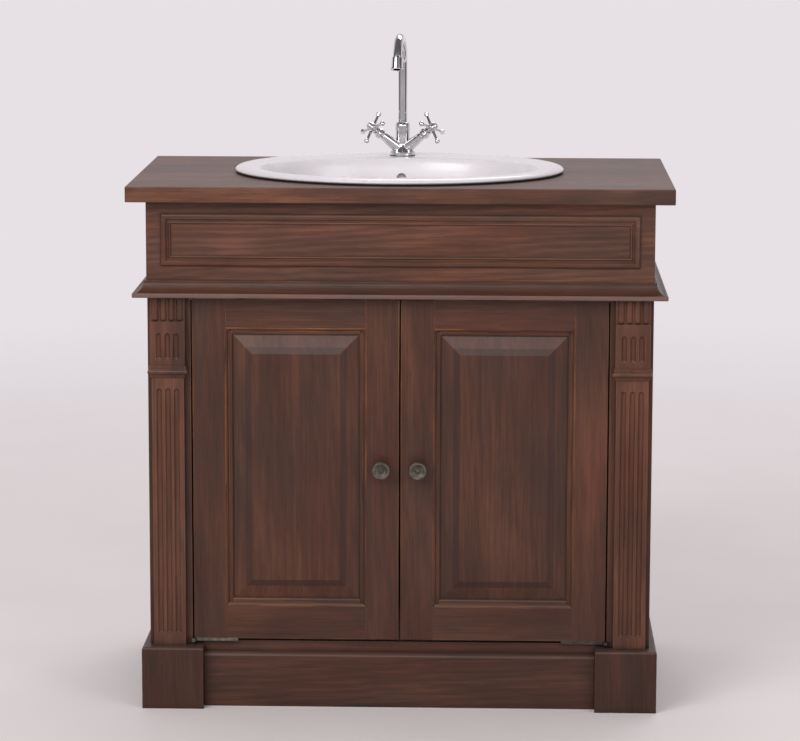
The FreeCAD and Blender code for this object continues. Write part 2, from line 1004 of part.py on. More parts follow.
def hinge_plate(name, side, low):
    """A cranked hinge plate: a bar along the door's edge and an eye in front of its corner."""
    bar_low, bar_high = mirrored(side, hinge_x - size.hinge_length, door_outer)
    neck_low, neck_high = mirrored(side, hinge_x - size.hinge_eye, door_outer)
    high = low + size.hinge_thick
    return fuse(
        name,
        box(f"{name}_bar", (bar_low, stile_face, low), (bar_high, stile_face + size.hinge_width, high)),
        box(f"{name}_crank", (neck_low, hinge_y, low), (neck_high, stile_face, high)),
        cylinder(f"{name}_eye", size.hinge_eye, size.hinge_thick, (hinge_x * side, hinge_y, low)),
    )


def make_hinges(name, side):
    plates = []
    leaves = []
    levels = (
        ("lower", floor_top, floor_top + size.hinge_thick + size.hinge_play, floor_top),
        ("upper", frieze_bottom - size.hinge_thick, door_top, door_top),
    )
    for level, plate_low, leaf_low, pin_low in levels:
        prefix = f"{name}_{level}_hinge"
        pin = cylinder(f"{prefix}_pin", size.hinge_pin, hinge_stack, (hinge_x * side, hinge_y, pin_low))
        plates.append(fuse(f"{prefix}_fixed", hinge_plate(f"{prefix}_plate", side, plate_low), pin))
        hole = cylinder(
            f"{prefix}_hole",
            size.hinge_pin + size.hinge_clearance,
            size.hinge_thick + size.overrun * 2,
            (hinge_x * side, hinge_y, leaf_low - size.overrun),
        )
        leaves.append(cut(f"{prefix}_leaf", hinge_plate(f"{prefix}_blank", side, leaf_low), hole))
    keep(group(f"{name}_plates", *plates), f"{name}_hinge_plates")
    keep(group(f"{name}_leaves", *leaves), f"{name}_hinge_leaves")


def make_doors():
    catches = []
    for name, side in SIDES:
        stiles = group(
            f"{name}_stiles",
            make_door_stile(f"{name}_hinge_stile", door_outer * side, -side),
            make_door_stile(f"{name}_lock_stile", door_inner * side, side),
        )
        keep(stiles, f"{name}_door_stiles")
        low, high = mirrored(side, door_inner + size.door_stile_width, door_outer - size.door_stile_width)
        blanks = group(
            f"{name}_rail_blanks",
            make_door_rail(f"{name}_bottom_rail", size.door_bottom_rail, door_bottom, 1, low, high),
            make_door_rail(f"{name}_top_rail", size.door_top_rail, door_top, -1, low, high),
        )
        keep(cut(f"{name}_rails_coped", blanks, stiles), f"{name}_door_rails")
        make_door_panel(name, side)
        make_knob(name, side)
        make_hinges(name, side)
        catch_low, catch_high = mirrored(side, size.catch_inset, size.catch_inset + size.catch_length)
        catch_bottom = frieze_bottom - size.catch_height
        catch_front = stile_back + size.strike_thick + size.strike_gap
        catches.append(
            box(
                f"{name}_catch",
                (catch_low, catch_front, catch_bottom),
                (catch_high, catch_front + size.catch_depth, frieze_bottom),
            )
        )
        strike = box(
            f"{name}_strike",
            (catch_low, stile_back, catch_bottom),
            (catch_high, stile_back + size.strike_thick, catch_bottom + size.strike_height),
        )
        keep(strike, f"{name}_door_strike")
    keep(group("catches", *catches), "door_catches")


# Basin

rim_bottom = size.stand_height + size.basin_seal_thick
rim_top = rim_bottom + size.rim_height
basin_half_x = size.basin_width / 2
bowl_half_x = basin_half_x - size.bowl_side_margin
bowl_half_y = basin_half_y - (size.bowl_front_margin + size.bowl_back_margin) / 2
bowl_y = basin_y - basin_half_y + size.bowl_front_margin + bowl_half_y
bowl_floor = rim_top - size.bowl_drop


def oval_loft(name, y, sections):
    """A smooth solid through level ovals, each a height and two half widths."""
    loft = doc.addObject("Part::Loft", name)
    loft.Sections = [
        ellipse(f"{name}_{index}", half_x, half_y, basin_x, y, level)
        for index, (level, half_x, half_y) in enumerate(sections)
    ]
    loft.Solid = True
    return loft


def bowl_sections(drop, wall):
    """Ovals of the bowl from its mouth to its floor, with a wall added all round."""
    floor = size.bowl_floor_radius
    return [
        (
            rim_top - drop * level,
            floor + (bowl_half_x - floor) * full + wall,
            floor + (bowl_half_y - floor) * full + wall,
        )
        for level, full in zip(BOWL_LEVEL_SHARES, BOWL_FULL_SHARES)
    ]


def make_basin():
    slope = size.rim_slope * 2
    rim = oval_loft(
        "rim",
        basin_y,
        (
            (rim_bottom, basin_half_x - slope, basin_half_y - slope),
            (rim_bottom + size.rim_height / 2, basin_half_x, basin_half_y),
            (rim_top - size.rim_slope, basin_half_x - slope, basin_half_y - slope),
            (rim_top, basin_half_x - size.rim_edge * 2, basin_half_y - size.rim_edge * 2),
        ),
    )
    shell = oval_loft("shell", bowl_y, bowl_sections(size.bowl_drop + size.bowl_wall, size.bowl_wall))
    mouth = (rim_top + size.overrun, bowl_half_x + size.rim_edge, bowl_half_y + size.rim_edge)
    bowl = oval_loft("bowl", bowl_y, [mouth] + bowl_sections(size.bowl_drop, 0))
    duct_y = bowl_y + bowl_half_y - size.overflow_duct / 2
    duct_bottom = rim_bottom - size.overflow_drop * 2
    duct = fuse(
        "duct",
        cylinder("duct_run", size.overflow_duct, rim_bottom - duct_bottom, (basin_x, duct_y, duct_bottom)),
        sphere("duct_end", size.overflow_duct, (basin_x, duct_y, duct_bottom)),
    )
    overflow = cylinder(
        "overflow",
        size.overflow_radius,
        size.overflow_duct * 2,
        (basin_x, duct_y + size.overflow_duct / 2, rim_top - size.overflow_drop),
        FreeCAD.Rotation(FreeCAD.Vector(1, 0, 0), 90),
    )
    waste_hole = cylinder(
        "waste_hole",
        size.waste_hole_radius,
        size.bowl_wall + size.overrun * 2,
        (basin_x, bowl_y, bowl_floor - size.bowl_wall - size.overrun),
    )
    tap_hole = cylinder(
        "tap_hole",
        size.tap_hole_radius,
        size.rim_height + size.overrun * 2,
        (basin_x, tap_y, rim_bottom - size.overrun),
    )
    whole = fuse("basin_whole", rim, shell, duct)
    keep(cut("basin_cut", whole, bowl, overflow, waste_hole, tap_hole), "basin")
    seal_half_x = basin_half_x - size.rim_edge
    seal_half_y = basin_half_y - size.rim_edge
    ring = oval_prism("seal_ring", seal_half_x, seal_half_y, basin_x, basin_y, size.stand_height, rim_bottom)
    hole = oval_prism(
        "seal_hole",
        seal_half_x - size.basin_seal_width,
        seal_half_y - size.basin_seal_width,
        basin_x,
        basin_y,
        size.stand_height - size.overrun,
        rim_bottom + size.overrun,
    )
    keep(cut("seal_cut", ring, hole), "basin_seal")


# Tap

tap_y = basin_y + basin_half_y - size.tap_back_margin
tap_base = rim_top + size.tap_seal_thick
tap_crown = tap_base + size.tap_body_height


def arm_direction(side):
    """The way that one tap arm points: outwards, forwards and up."""
    rise = math.radians(size.arm_rise_angle.value)
    forward = math.radians(size.arm_forward_angle.value)
    level = math.cos(rise)
    return FreeCAD.Vector(side * level * math.cos(forward), -level * math.sin(forward), math.sin(rise))


def along_arm(side, distance):
    """The point on an arm's line at a distance from its root."""
    way = arm_direction(side)
    return (
        basin_x + distance * way.x,
        tap_y + distance * way.y,
        tap_base + size.arm_root_height + distance * way.z,
    )


def arm_turn(side, angle=0):
    upright = FreeCAD.Vector(0, 0, 1)
    return FreeCAD.Rotation(upright, arm_direction(side)).multiply(FreeCAD.Rotation(upright, angle))


def make_tap_body():
    waist_top = size.tap_base_height + (size.tap_base_radius - size.tap_waist_radius) * WAIST_RISE_SHARE
    socket = size.tube_radius + size.running_clearance
    outline = (
        (0, 0),
        (size.tap_base_radius, 0),
        (size.tap_base_radius, size.tap_base_height, -size.tap_base_radius),
        (size.tap_waist_radius, waist_top),
        (size.tap_waist_radius, size.tap_body_height),
        (socket, size.tap_body_height),
        (socket, size.tap_body_height - size.spout_socket),
        (0, size.tap_body_height - size.spout_socket),
    )
    column = place(turned("tap_column", outline), basin_x, tap_y, tap_base)
    socket_room = cylinder(
        "spout_room",
        socket,
        size.spout_socket,
        (basin_x, tap_y, tap_crown - size.spout_socket),
    )
    arms = [
        cone(
            f"{name}_arm",
            size.arm_root_radius,
            size.arm_end_radius,
            size.arm_length,
            (basin_x, tap_y, tap_base + size.arm_root_height),
            arm_turn(side),
        )
        for name, side in SIDES
    ]
    under = size.arm_root_radius + size.overrun
    below = cylinder("deck_room", size.tap_base_radius * 2, under, (basin_x, tap_y, tap_base - under))
    inlets = [
        cylinder(
            f"{name}_inlet",
            size.inlet_radius,
            size.inlet_length + size.overrun,
            (basin_x + size.inlet_spread * side, tap_y - size.inlet_forward, tap_base - size.overrun),
        )
        for name, side in SIDES
    ]
    stud_hole = cylinder(
        "stud_hole",
        size.stud_radius + size.running_clearance,
        size.stud_bite + size.overrun,
        (basin_x, tap_y + size.stud_back, tap_base - size.overrun),
    )
    whole = fuse("tap_whole", column, *arms)
    keep(cut("tap_cut", whole, below, socket_room, stud_hole, *inlets), "tap_body")


def ring(name, inner, outer, height, at):
    """A flat ring about an upright axis."""
    body = turned(name, ((inner, 0), (outer, 0), (outer, height), (inner, height)))
    return place(body, *at)


def make_tap_fixing():
    seal = ring(
        "tap_seal_ring",
        size.tap_hole_radius,
        size.tap_base_radius,
        size.tap_seal_thick,
        (basin_x, tap_y, rim_top),
    )
    keep(seal, "tap_seal")
    stud_y = tap_y + size.stud_back
    stud_bottom = tap_base + size.stud_bite - size.stud_length
    keep(cylinder("stud", size.stud_radius, size.stud_length, (basin_x, stud_y, stud_bottom)), "tap_stud")
    clamp_bottom = rim_bottom - size.clamp_thick
    nut_bottom = clamp_bottom - size.clamp_nut_height
    hole = cylinder(
        "clamp_hole",
        size.stud_radius + size.running_clearance,
        size.clamp_thick + size.clamp_nut_height + size.overrun * 2,
        (basin_x, stud_y, nut_bottom - size.overrun),
    )
    slot_half = size.inlet_spread + size.inlet_radius
    slot = box(
        "clamp_slot",
        (basin_x - slot_half, tap_y - size.clamp_radius - size.overrun, clamp_bottom - size.overrun),
        (basin_x + slot_half, tap_y - size.inlet_forward + size.inlet_radius, rim_bottom + size.overrun),
    )
    plate = cylinder("clamp_plate", size.clamp_radius, size.clamp_thick, (basin_x, tap_y, clamp_bottom))
    nut = new("Part::Prism", "clamp_nut", Circumradius=size.clamp_nut_radius, Height=size.clamp_nut_height)
    place(nut, basin_x, stud_y, nut_bottom)
    keep(group("clamp", cut("clamp_shoe", plate, slot, hole), cut("clamp_nut_cut", nut, hole)), "tap_clamp")


def make_spout():
    inner = size.tube_radius - size.tube_wall
    low = tap_crown - size.spout_socket + size.running_clearance
    bend_level = tap_crown + size.spout_rise
    aside = math.radians(size.spout_turn_angle.value)
    swivel = FreeCAD.Rotation(FreeCAD.Vector(0, 0, 1), -size.spout_turn_angle.value)
    upright = FreeCAD.Rotation(
        FreeCAD.Vector(0, 1, 0),
        FreeCAD.Vector(0, 0, 1),
        FreeCAD.Vector(1, 0, 0),
        "XYZ",
    )

    def ahead(distance):
        """The x and y of a point at a distance in front of the swivel."""
        return basin_x - distance * math.sin(aside), tap_y - distance * math.cos(aside)

    def pipe(name, radius):
        bend = new(
            "Part::Torus",
            f"{name}_bend",
            Radius1=size.spout_radius,
            Radius2=radius,
            Angle3=size.spout_sweep_angle,
        )
        place(bend, *ahead(size.spout_radius), bend_level, turn=swivel.multiply(upright))
        run = cylinder(f"{name}_run", radius, bend_level - low, (basin_x, tap_y, low))
        return fuse(name, run, bend)

    keep(cut("spout_cut", pipe("spout_outer", size.tube_radius), pipe("spout_bore", inner)), "spout_tube")
    bore = size.tube_radius + size.running_clearance
    edge = size.collar_height / 4
    nut = turned(
        "spout_nut_body",
        (
            (bore, 0),
            (size.collar_radius, 0),
            (size.collar_radius, size.collar_height - edge * 2, edge * 2),
            (size.collar_radius - edge, size.collar_height),
            (bore, size.collar_height),
        ),
    )
    keep(place(nut, basin_x, tap_y, tap_crown), "spout_nut")
    swing = math.radians(size.spout_sweep_angle.value)
    lip = size.aerator_lip
    length = size.aerator_length
    nozzle = turned(
        "aerator_body",
        (
            (inner, 0),
            (size.tube_radius, 0),
            (size.aerator_radius, lip),
            (size.aerator_radius, length - lip),
            (size.aerator_radius + lip / 3, length - lip),
            (size.aerator_radius + lip / 3, length),
            (inner, length),
        ),
    )
    way = FreeCAD.Vector(0, -math.sin(swing), math.cos(swing))
    place(
        nozzle,
        *ahead(size.spout_radius * (1 - math.cos(swing))),
        bend_level + size.spout_radius * math.sin(swing),
        turn=swivel.multiply(FreeCAD.Rotation(FreeCAD.Vector(0, 0, 1), way)),
    )
    keep(nozzle, "aerator")


def make_handles():
    for name, side in (("hot", -1), ("cold", 1)):
        bore = size.stem_radius + size.running_clearance
        length = size.bonnet_length
        bonnet = turned(
            f"{name}_bonnet_body",
            (
                (0, 0),
                (size.arm_end_radius, 0),
                (size.bonnet_radius, length / 4),
                (size.bonnet_radius, length / 2),
                (size.arm_end_radius, length * 3 / 4),
                (size.arm_end_radius, length),
                (bore, length),
                (bore, length - size.stem_length),
                (0, length - size.stem_length),
            ),
        )
        place(bonnet, *along_arm(side, size.arm_length), turn=arm_turn(side))
        keep(bonnet, f"{name}_bonnet")
        half = size.handle_hub_height / 2
        hub = new_body(f"{name}_handle_body")
        hub_outline = (
            (0, -half - size.stem_length),
            (size.stem_radius, -half - size.stem_length),
            (size.stem_radius, -half),
            (size.cap_radius, -half),
            (size.handle_hub_radius, -half / 2),
            (size.handle_hub_radius, half / 2),
            (size.cap_radius, half),
            (0, half),
        )
        turn_solid(hub, draw(hub, "XZ_Plane", f"{name}_hub_outline", hub_outline))
        reach = size.handle_arm_length
        ball = size.handle_arm_ball
        arm_outline = (
            (0, 0),
            (0, size.handle_arm_root),
            (reach / 2, size.handle_arm_neck),
            (reach - ball * 2, size.handle_arm_neck),
            (reach - ball, ball, -ball),
            (reach, 0),
        )
        arm = turn_solid(hub, draw(hub, "XZ_Plane", f"{name}_arm_outline", arm_outline), "Arm", "H_Axis")
        doc.recompute()
        cross = hub.newObject("PartDesign::PolarPattern", f"{name}_cross")
        cross.Originals = [arm]
        cross.Axis = (origin_part(hub, "Z_Axis"), [""])
        cross.Angle = 360
        cross.Occurrences = 4
        hub.Tip = cross
        centre = size.arm_length + length + size.handle_gap + half
        turn = arm_turn(side, size.handle_rest_angle.value * side)
        place(hub, *along_arm(side, centre), turn=turn)
        keep(hub, f"{name}_handle")
        dome = size.cap_dome
        cap = turned(
            f"{name}_cap_body",
            (
                (0, 0),
                (size.cap_radius, 0),
                (size.cap_radius, size.cap_height - dome),
                (size.cap_radius - dome, size.cap_height),
                (0, size.cap_height),
            ),
        )
        place(cap, *along_arm(side, centre + half), turn=turn)
        keep(cap, f"{name}_cap")


# Waste and trap

thread_bottom = bowl_floor - size.waste_length
tail_bottom = thread_bottom - size.waste_tail_length
outlet_level = tail_bottom - size.trap_height / 2


def make_waste():
    bore = size.waste_thread_radius - size.waste_wall
    tail_bore = size.waste_tail_radius - size.waste_wall
    drop = size.waste_length
    flange = size.waste_flange_thick
    tube = turned(
        "waste_tube",
        (
            (tail_bore, -drop - size.waste_tail_length),
            (size.waste_tail_radius, -drop - size.waste_tail_length),
            (size.waste_tail_radius, -drop),
            (size.waste_thread_radius, -drop),
            (size.waste_thread_radius, 0),
            (size.waste_flange_radius, 0),
            (size.waste_flange_radius, flange / 2),
            (size.waste_thread_radius, flange),
            (bore, flange),
            (bore, size.waste_wall - drop),
            (tail_bore, size.waste_wall - drop),
        ),
    )
    place(tube, basin_x, bowl_y, bowl_floor)
    guide_top = bowl_floor - size.waste_guide_drop
    guide_bottom = guide_top - size.waste_guide_height
    half = size.waste_spoke / 2
    reach = bore + size.waste_wall / 2
    guide = cylinder(
        "plug_guide",
        size.waste_guide_radius,
        size.waste_guide_height,
        (basin_x, bowl_y, guide_bottom),
    )
    spokes = [
        box(
            f"spoke_{name}",
            (basin_x - across, bowl_y - along, guide_bottom),
            (basin_x + across, bowl_y + along, guide_top),
        )
        for name, across, along in (("across", reach, half), ("along", half, reach))
    ]
    guide_bore = cylinder(
        "guide_bore",
        size.plug_stem_radius + size.running_clearance,
        size.waste_guide_height + size.overrun * 2,
        (basin_x, bowl_y, guide_bottom - size.overrun),
    )
    keep(cut("waste_cut", fuse("waste_whole", tube, guide, *spokes), guide_bore), "waste_body")
    thread = size.waste_thread_radius + size.running_clearance
    shell_bottom = bowl_floor - size.bowl_wall
    seal_bottom = shell_bottom - size.waste_seal_thick
    seal = ring(
        "waste_seal_ring",
        thread,
        size.waste_seal_radius,
        size.waste_seal_thick,
        (basin_x, bowl_y, seal_bottom),
    )
    keep(seal, "waste_seal")
    nut_bottom = seal_bottom - size.waste_nut_height
    nut = new(
        "Part::Prism",
        "waste_nut_blank",
        Circumradius=size.waste_nut_radius,
        Height=size.waste_nut_height,
    )
    place(nut, basin_x, bowl_y, nut_bottom)
    nut_bore = cylinder(
        "waste_nut_bore",
        thread,
        size.waste_nut_height + size.overrun * 2,
        (basin_x, bowl_y, nut_bottom - size.overrun),
    )
    keep(cut("waste_nut_cut", nut, nut_bore), "waste_nut")
    plug = turned(
        "plug_body",
        (
            (0, -size.plug_stem_length),
            (size.plug_stem_radius, -size.plug_stem_length),
            (size.plug_stem_radius, 0),
            (size.plug_radius, 0),
            (size.plug_radius, size.plug_thick / 2),
            (size.plug_radius - size.plug_thick, size.plug_thick),
            (0, size.plug_thick + size.plug_dome),
        ),
    )
    keep(place(plug, basin_x, bowl_y, bowl_floor + flange + size.plug_lift), "waste_plug")


def make_trap():
    socket = size.waste_tail_radius + size.running_clearance
    collar_top = size.waste_tail_length - size.waste_wall
    bottle = turned(
        "trap_bottle",
        (
            (0, -size.trap_height),
            (size.trap_radius, -size.trap_height),
            (size.trap_radius, -size.trap_shoulder),
            (size.trap_collar_radius, 0),
            (size.trap_collar_radius, collar_top),
            (socket, collar_top),
            (socket, 0),
            (0, 0),
        ),
    )
    place(bottle, basin_x, bowl_y, tail_bottom)
    outlet_y = bowl_y + size.trap_radius - size.trap_outlet_bite
    lying = FreeCAD.Rotation(FreeCAD.Vector(1, 0, 0), -90)
    at = (basin_x, outlet_y, outlet_level)
    outlet_length = case_back - outlet_y
    bore = size.trap_outlet_radius - size.trap_outlet_wall
    spigot = bore + size.trap_outlet_wall / 2
    room = cylinder("outlet_room", spigot + size.running_clearance, outlet_length, at, lying)
    keep(cut("trap_cut", bottle, room), "trap_body")
    pipe = turned(
        "outlet_pipe",
        (
            (bore, 0),
            (spigot, 0),
            (spigot, size.trap_outlet_bite),
            (size.trap_outlet_radius, size.trap_outlet_bite),
            (size.trap_outlet_radius, outlet_length),
            (bore, outlet_length),
        ),
    )
    keep(place(pipe, *at, turn=lying), "trap_outlet")
    edge = size.trap_cup_neck
    cup = turned(
        "trap_cup_body",
        (
            (0, -size.trap_cup_height),
            (size.trap_cup_radius - edge, -size.trap_cup_height, edge),
            (size.trap_cup_radius, edge - size.trap_cup_height),
            (size.trap_cup_radius, 0),
            (0, 0),
        ),
    )
    keep(place(cup, basin_x, bowl_y, tail_bottom - size.trap_height), "trap_cup")


# Assembly

make_countertop()
make_side_panels()
make_bottom_board()
make_back()
make_front()
make_frieze_moulding()
make_cornices()
make_feet()
make_plinths()
make_pilasters()
make_doors()
make_basin()
make_tap_body()
make_tap_fixing()
make_spout()
make_handles()
make_waste()
make_trap()
doc.recompute()

for item in doc.Objects:
    if "Invalid" in item.State or "Error" in item.State:
        raise RuntimeError(f"{item.Label} failed: {item.State}")
for label, item in parts.items():
    if item.Shape.isNull() or not item.Shape.isValid() or not item.Shape.Solids:
        raise RuntimeError(f"{label} has no sound shape")

os.makedirs("parts", exist_ok=True)
for label, item in parts.items():
    item.Shape.exportStep(f"parts/{label}.step")
    print(f"{label}: {len(item.Shape.Solids)} solid(s), {item.Shape.Volume / 1000:.2f} cm3")
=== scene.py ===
"""Washstand: oak, glaze and metal finishes, small added pieces, stage, light and camera."""
import json
import math

import bmesh
import bpy
from mathutils import Euler, Matrix, Vector


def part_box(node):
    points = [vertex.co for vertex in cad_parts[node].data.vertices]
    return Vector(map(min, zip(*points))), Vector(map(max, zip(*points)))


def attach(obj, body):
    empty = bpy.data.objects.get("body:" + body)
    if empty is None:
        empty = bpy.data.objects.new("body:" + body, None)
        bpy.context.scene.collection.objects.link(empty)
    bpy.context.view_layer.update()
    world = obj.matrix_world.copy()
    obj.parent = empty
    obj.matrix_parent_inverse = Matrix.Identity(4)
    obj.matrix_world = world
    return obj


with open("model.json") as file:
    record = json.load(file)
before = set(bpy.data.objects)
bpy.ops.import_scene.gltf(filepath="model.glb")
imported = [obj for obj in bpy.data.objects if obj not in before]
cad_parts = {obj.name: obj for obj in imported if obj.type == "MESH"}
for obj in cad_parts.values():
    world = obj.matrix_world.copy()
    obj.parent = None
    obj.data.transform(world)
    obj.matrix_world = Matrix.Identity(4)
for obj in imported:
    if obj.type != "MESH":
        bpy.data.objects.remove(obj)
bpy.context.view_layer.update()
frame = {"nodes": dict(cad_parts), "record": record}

nodes = frame["nodes"]


# Shader building

# A colour mix has its sockets by number, because their names repeat
MIX_SHARE, MIX_FIRST, MIX_SECOND, MIX_RESULT = 0, 6, 7, 2
WHITE = (1.0, 1.0, 1.0, 1.0)


class Tree:
    """A node tree, with short calls to add and join nodes."""

    def __init__(self, tree):
        self.tree = tree

    def add(self, kind, inputs=None, **settings):
        """A new node, with its settings made and its inputs fed."""
        node = self.tree.nodes.new(kind)
        for key, value in settings.items():
            setattr(node, key, value)
        for socket, value in (inputs or {}).items():
            self.feed(node.inputs[socket], value)
        return node

    def feed(self, socket, value):
        """A link where the value is another node's output, and otherwise a constant."""
        if isinstance(value, bpy.types.NodeSocket):
            self.tree.links.new(value, socket)
        else:
            socket.default_value = value

    def math(self, operation, first, second=0.0):
        node = self.add("ShaderNodeMath", {0: first, 1: second}, operation=operation)
        return node.outputs[0]

    def total(self, start, *parts):
        """A start value plus other values, each times its weight."""
        for value, weight in parts:
            start = self.math("ADD", start, self.math("MULTIPLY", value, weight))
        return start

    def span(self, value, low, high, to_low=0.0, to_high=1.0, easing="LINEAR"):
        """A value that goes from low to high, brought to the range from to_low to to_high."""
        node = self.add(
            "ShaderNodeMapRange",
            {
                "Value": value,
                "From Min": low,
                "From Max": high,
                "To Min": to_low,
                "To Max": to_high,
            },
            interpolation_type=easing,
        )
        return node.outputs["Result"]

    def mix(self, share, first, second, blend="MIX"):
        node = self.add(
            "ShaderNodeMix",
            {MIX_SHARE: share, MIX_FIRST: first, MIX_SECOND: second},
            data_type="RGBA",
            blend_type=blend,
        )
        return node.outputs[MIX_RESULT]

    def tinted(self, colour, tint):
        """A colour multiplied by another one, or by a number."""
        return self.mix(1.0, colour, tint, "MULTIPLY")

    def ramp(self, value, *stops, easing="LINEAR"):
        """A colour that runs through stops, each a position and its colour."""
        node = self.add("ShaderNodeValToRGB", {"Fac": value})
        node.color_ramp.interpolation = easing
        elements = node.color_ramp.elements
        while len(elements) < len(stops):
            elements.new(1.0)
        for element, (position, colour) in zip(elements, stops):
            element.position = position
            element.color = colour
        return node.outputs["Color"]

    def part(self, vector, axis):
        return self.add("ShaderNodeSeparateXYZ", {0: vector}).outputs[axis]

    def vector_math(self, operation, *vectors):
        inputs = dict(enumerate(vectors))
        return self.add("ShaderNodeVectorMath", inputs, operation=operation).outputs

    def seen_directly(self):
        """One for rays that show the backdrop itself: from the camera, a mirror or glass."""
        path = self.add("ShaderNodeLightPath").outputs
        mirrored = self.math("MAXIMUM", path["Is Glossy Ray"], path["Is Transmission Ray"])
        return self.math("MAXIMUM", path["Is Camera Ray"], mirrored)


class Shader(Tree):
    """A material, with its surface shader and the patterns that the finishes share."""

    def __init__(self, name, **constants):
        self.material = bpy.data.materials.new(name)
        self.material.use_nodes = True
        super().__init__(self.material.node_tree)
        self.surface = self.tree.nodes["Principled BSDF"]
        self.set(**constants)

    def set(self, **sources):
        """Feeds sockets of the surface, whose names have _ for each space."""
        for socket, value in sources.items():
            self.feed(self.surface.inputs[socket.replace("_", " ")], value)

    def place(self, shift=(0, 0, 0), turn=(0, 0, 0)):
        """Where a point is on the object, shifted and turned."""
        return self.stretch(self.add("ShaderNodeTexCoord").outputs["Object"], shift, turn)

    def stretch(self, vector, shift=(0, 0, 0), turn=(0, 0, 0), scale=(1, 1, 1)):
        node = self.add(
            "ShaderNodeMapping",
            {"Vector": vector, "Location": shift, "Rotation": turn, "Scale": scale},
        )
        return node.outputs["Vector"]

    def noise(self, vector, scale, detail=3.0, roughness=0.5, distortion=0.0):
        node = self.add(
            "ShaderNodeTexNoise",
            {
                "Vector": vector,
                "Scale": scale,
                "Detail": detail,
                "Roughness": roughness,
                "Distortion": distortion,
            },
        )
        return node.outputs["Fac"]

    def grained(self, vector, along, across, shift=(0, 0, 0), **character):
        """Noise drawn out along the grain, with its scale along and across that."""
        drawn = self.stretch(vector, shift=shift, scale=(along, across, across))
        return self.noise(drawn, scale=1.0, **character)

    def facing(self):
        """The surface's own normal."""
        return self.add("ShaderNodeNewGeometry").outputs["Normal"]

    def soft_normal(self, radius):
        """The normal with the edges rounded."""
        return self.add("ShaderNodeBevel", {"Radius": radius}, samples=6).outputs["Normal"]

    def openness(self, reach, samples=6):
        """How open a point is to its surroundings, which is little in a hollow."""
        node = self.add("ShaderNodeAmbientOcclusion", {"Distance": reach}, samples=samples)
        return node.outputs["AO"]

    def edge_share(self, soft_normal, low, high):
        """How far a point is on an edge: the rounded normal turns away from the surface's own."""
        agreement = self.vector_math("DOT_PRODUCT", soft_normal, self.facing())["Value"]
        return self.span(agreement, low, high, to_low=1.0, to_high=0.0)

    def long_edge_share(self, soft_normal, grain, low, high):
        """How far a point is on an edge that runs along the grain, not on a board's end."""
        lean = self.vector_math("SUBTRACT", soft_normal, self.facing())["Vector"]
        lean = self.add(
            "ShaderNodeVectorTransform",
            {0: lean},
            vector_type="VECTOR",
            convert_from="WORLD",
            convert_to="OBJECT",
        ).outputs[0]
        across = tuple(0.0 if grain.endswith(axis) else 1.0 for axis in "xyz")
        lean = self.vector_math("MULTIPLY", lean, across)["Vector"]
        return self.span(self.vector_math("LENGTH", lean)["Value"], low, high)

    def bump(self, height, strength, distance, normal):
        node = self.add(
            "ShaderNodeBump",
            {"Height": height, "Strength": strength, "Distance": distance, "Normal": normal},
        )
        return node.outputs["Normal"]


def shade(colour):
    """A colour written as screen red, green and blue out of 255, as linear light by sRGB."""
    def linear(part):
        share = part / 255
        return share / 12.92 if share <= 0.04045 else ((share + 0.055) / 1.055) ** 2.4
    return tuple(linear(part) for part in colour) + (1.0,)


# Oak

GRAIN_TURNS = {
    "along_x": (0, 0, 0),
    "along_y": (0, 0, -math.pi / 2),
    "along_z": (0, math.pi / 2, 0),
}
OAK_DARK = shade((55, 33, 25))
OAK_MIDDLE = shade((75, 45, 34))
OAK_LIGHT = shade((98, 61, 46))
OAK_PORE = shade((40, 24, 18))
OAK_WORN = shade((176, 110, 56))
# The pale colour is dust with a painted sheen, and the dark one below it painted shade
OAK_DUST_AND_SHEEN = shade((168, 146, 140))
OAK_STEP_SHADE = shade((44, 24, 20))
OAK_RED = (1.12, 0.9, 0.9, 1.0)
OAK_AMBER = (1.08, 1.02, 0.86, 1.0)
OAK_OLIVE = (0.84, 0.96, 0.94, 1.0)

# Where each board is cut from the tree
BOARD_STEP = 1.37
BOARD_CYCLE = 3
HEART_DEPTH = 0.05
HEART_ASIDE = 0.012

# Patterns drawn out along the grain
STREAKS = dict(along=2.0, across=60, detail=6.0, roughness=0.66, distortion=0.2)
FIBRES = dict(along=7, across=380, detail=3.0, roughness=0.55)
PORES = dict(along=26, across=620, detail=2.0)
BLOTCHES = dict(along=3.4, across=12, detail=4.0, roughness=0.55, distortion=0.3)
CLOUDS = dict(BLOTCHES, along=3.6, across=13, shift=(3.1, 1.7, 0.4))
BARE_PATCHES = dict(along=14, across=60, detail=3.0)
RING_WAVES = {
    "Scale": 30.0,
    "Distortion": 9.0,
    "Detail": 4.0,
    "Detail Scale": 0.7,
    "Detail Roughness": 0.65,
}
RING_STRETCH = (0.16, 1, 1)
RING_TILT = 2.2
RING_SKEW = 1.6
RING_MIDDLE = 0.5

# Shares of the patterns in the figure, and the colours it runs through
FIBROUS = 0.26
CLOUDY = 0.56
CALM = {"left_side_panel": 0.3, "right_side_panel": 0.3}
FLAME = 0.03
FLAMES = {
    "frieze_board": 0.09,
    "countertop": 0.12,
    "plinth_front": 0.06,
    "left_side_panel": 0.06,
    "right_side_panel": 0.06,
}
FIGURE_STOPS = ((0.35, OAK_DARK), (0.5, OAK_MIDDLE), (0.65, OAK_LIGHT))
BLOTCH_STOPS = ((0.34, OAK_OLIVE), (0.46, WHITE), (0.56, OAK_AMBER), (0.68, OAK_RED))
PORE_SPAN = (0.55, 0.68)
PORE_DARKNESS = 0.3
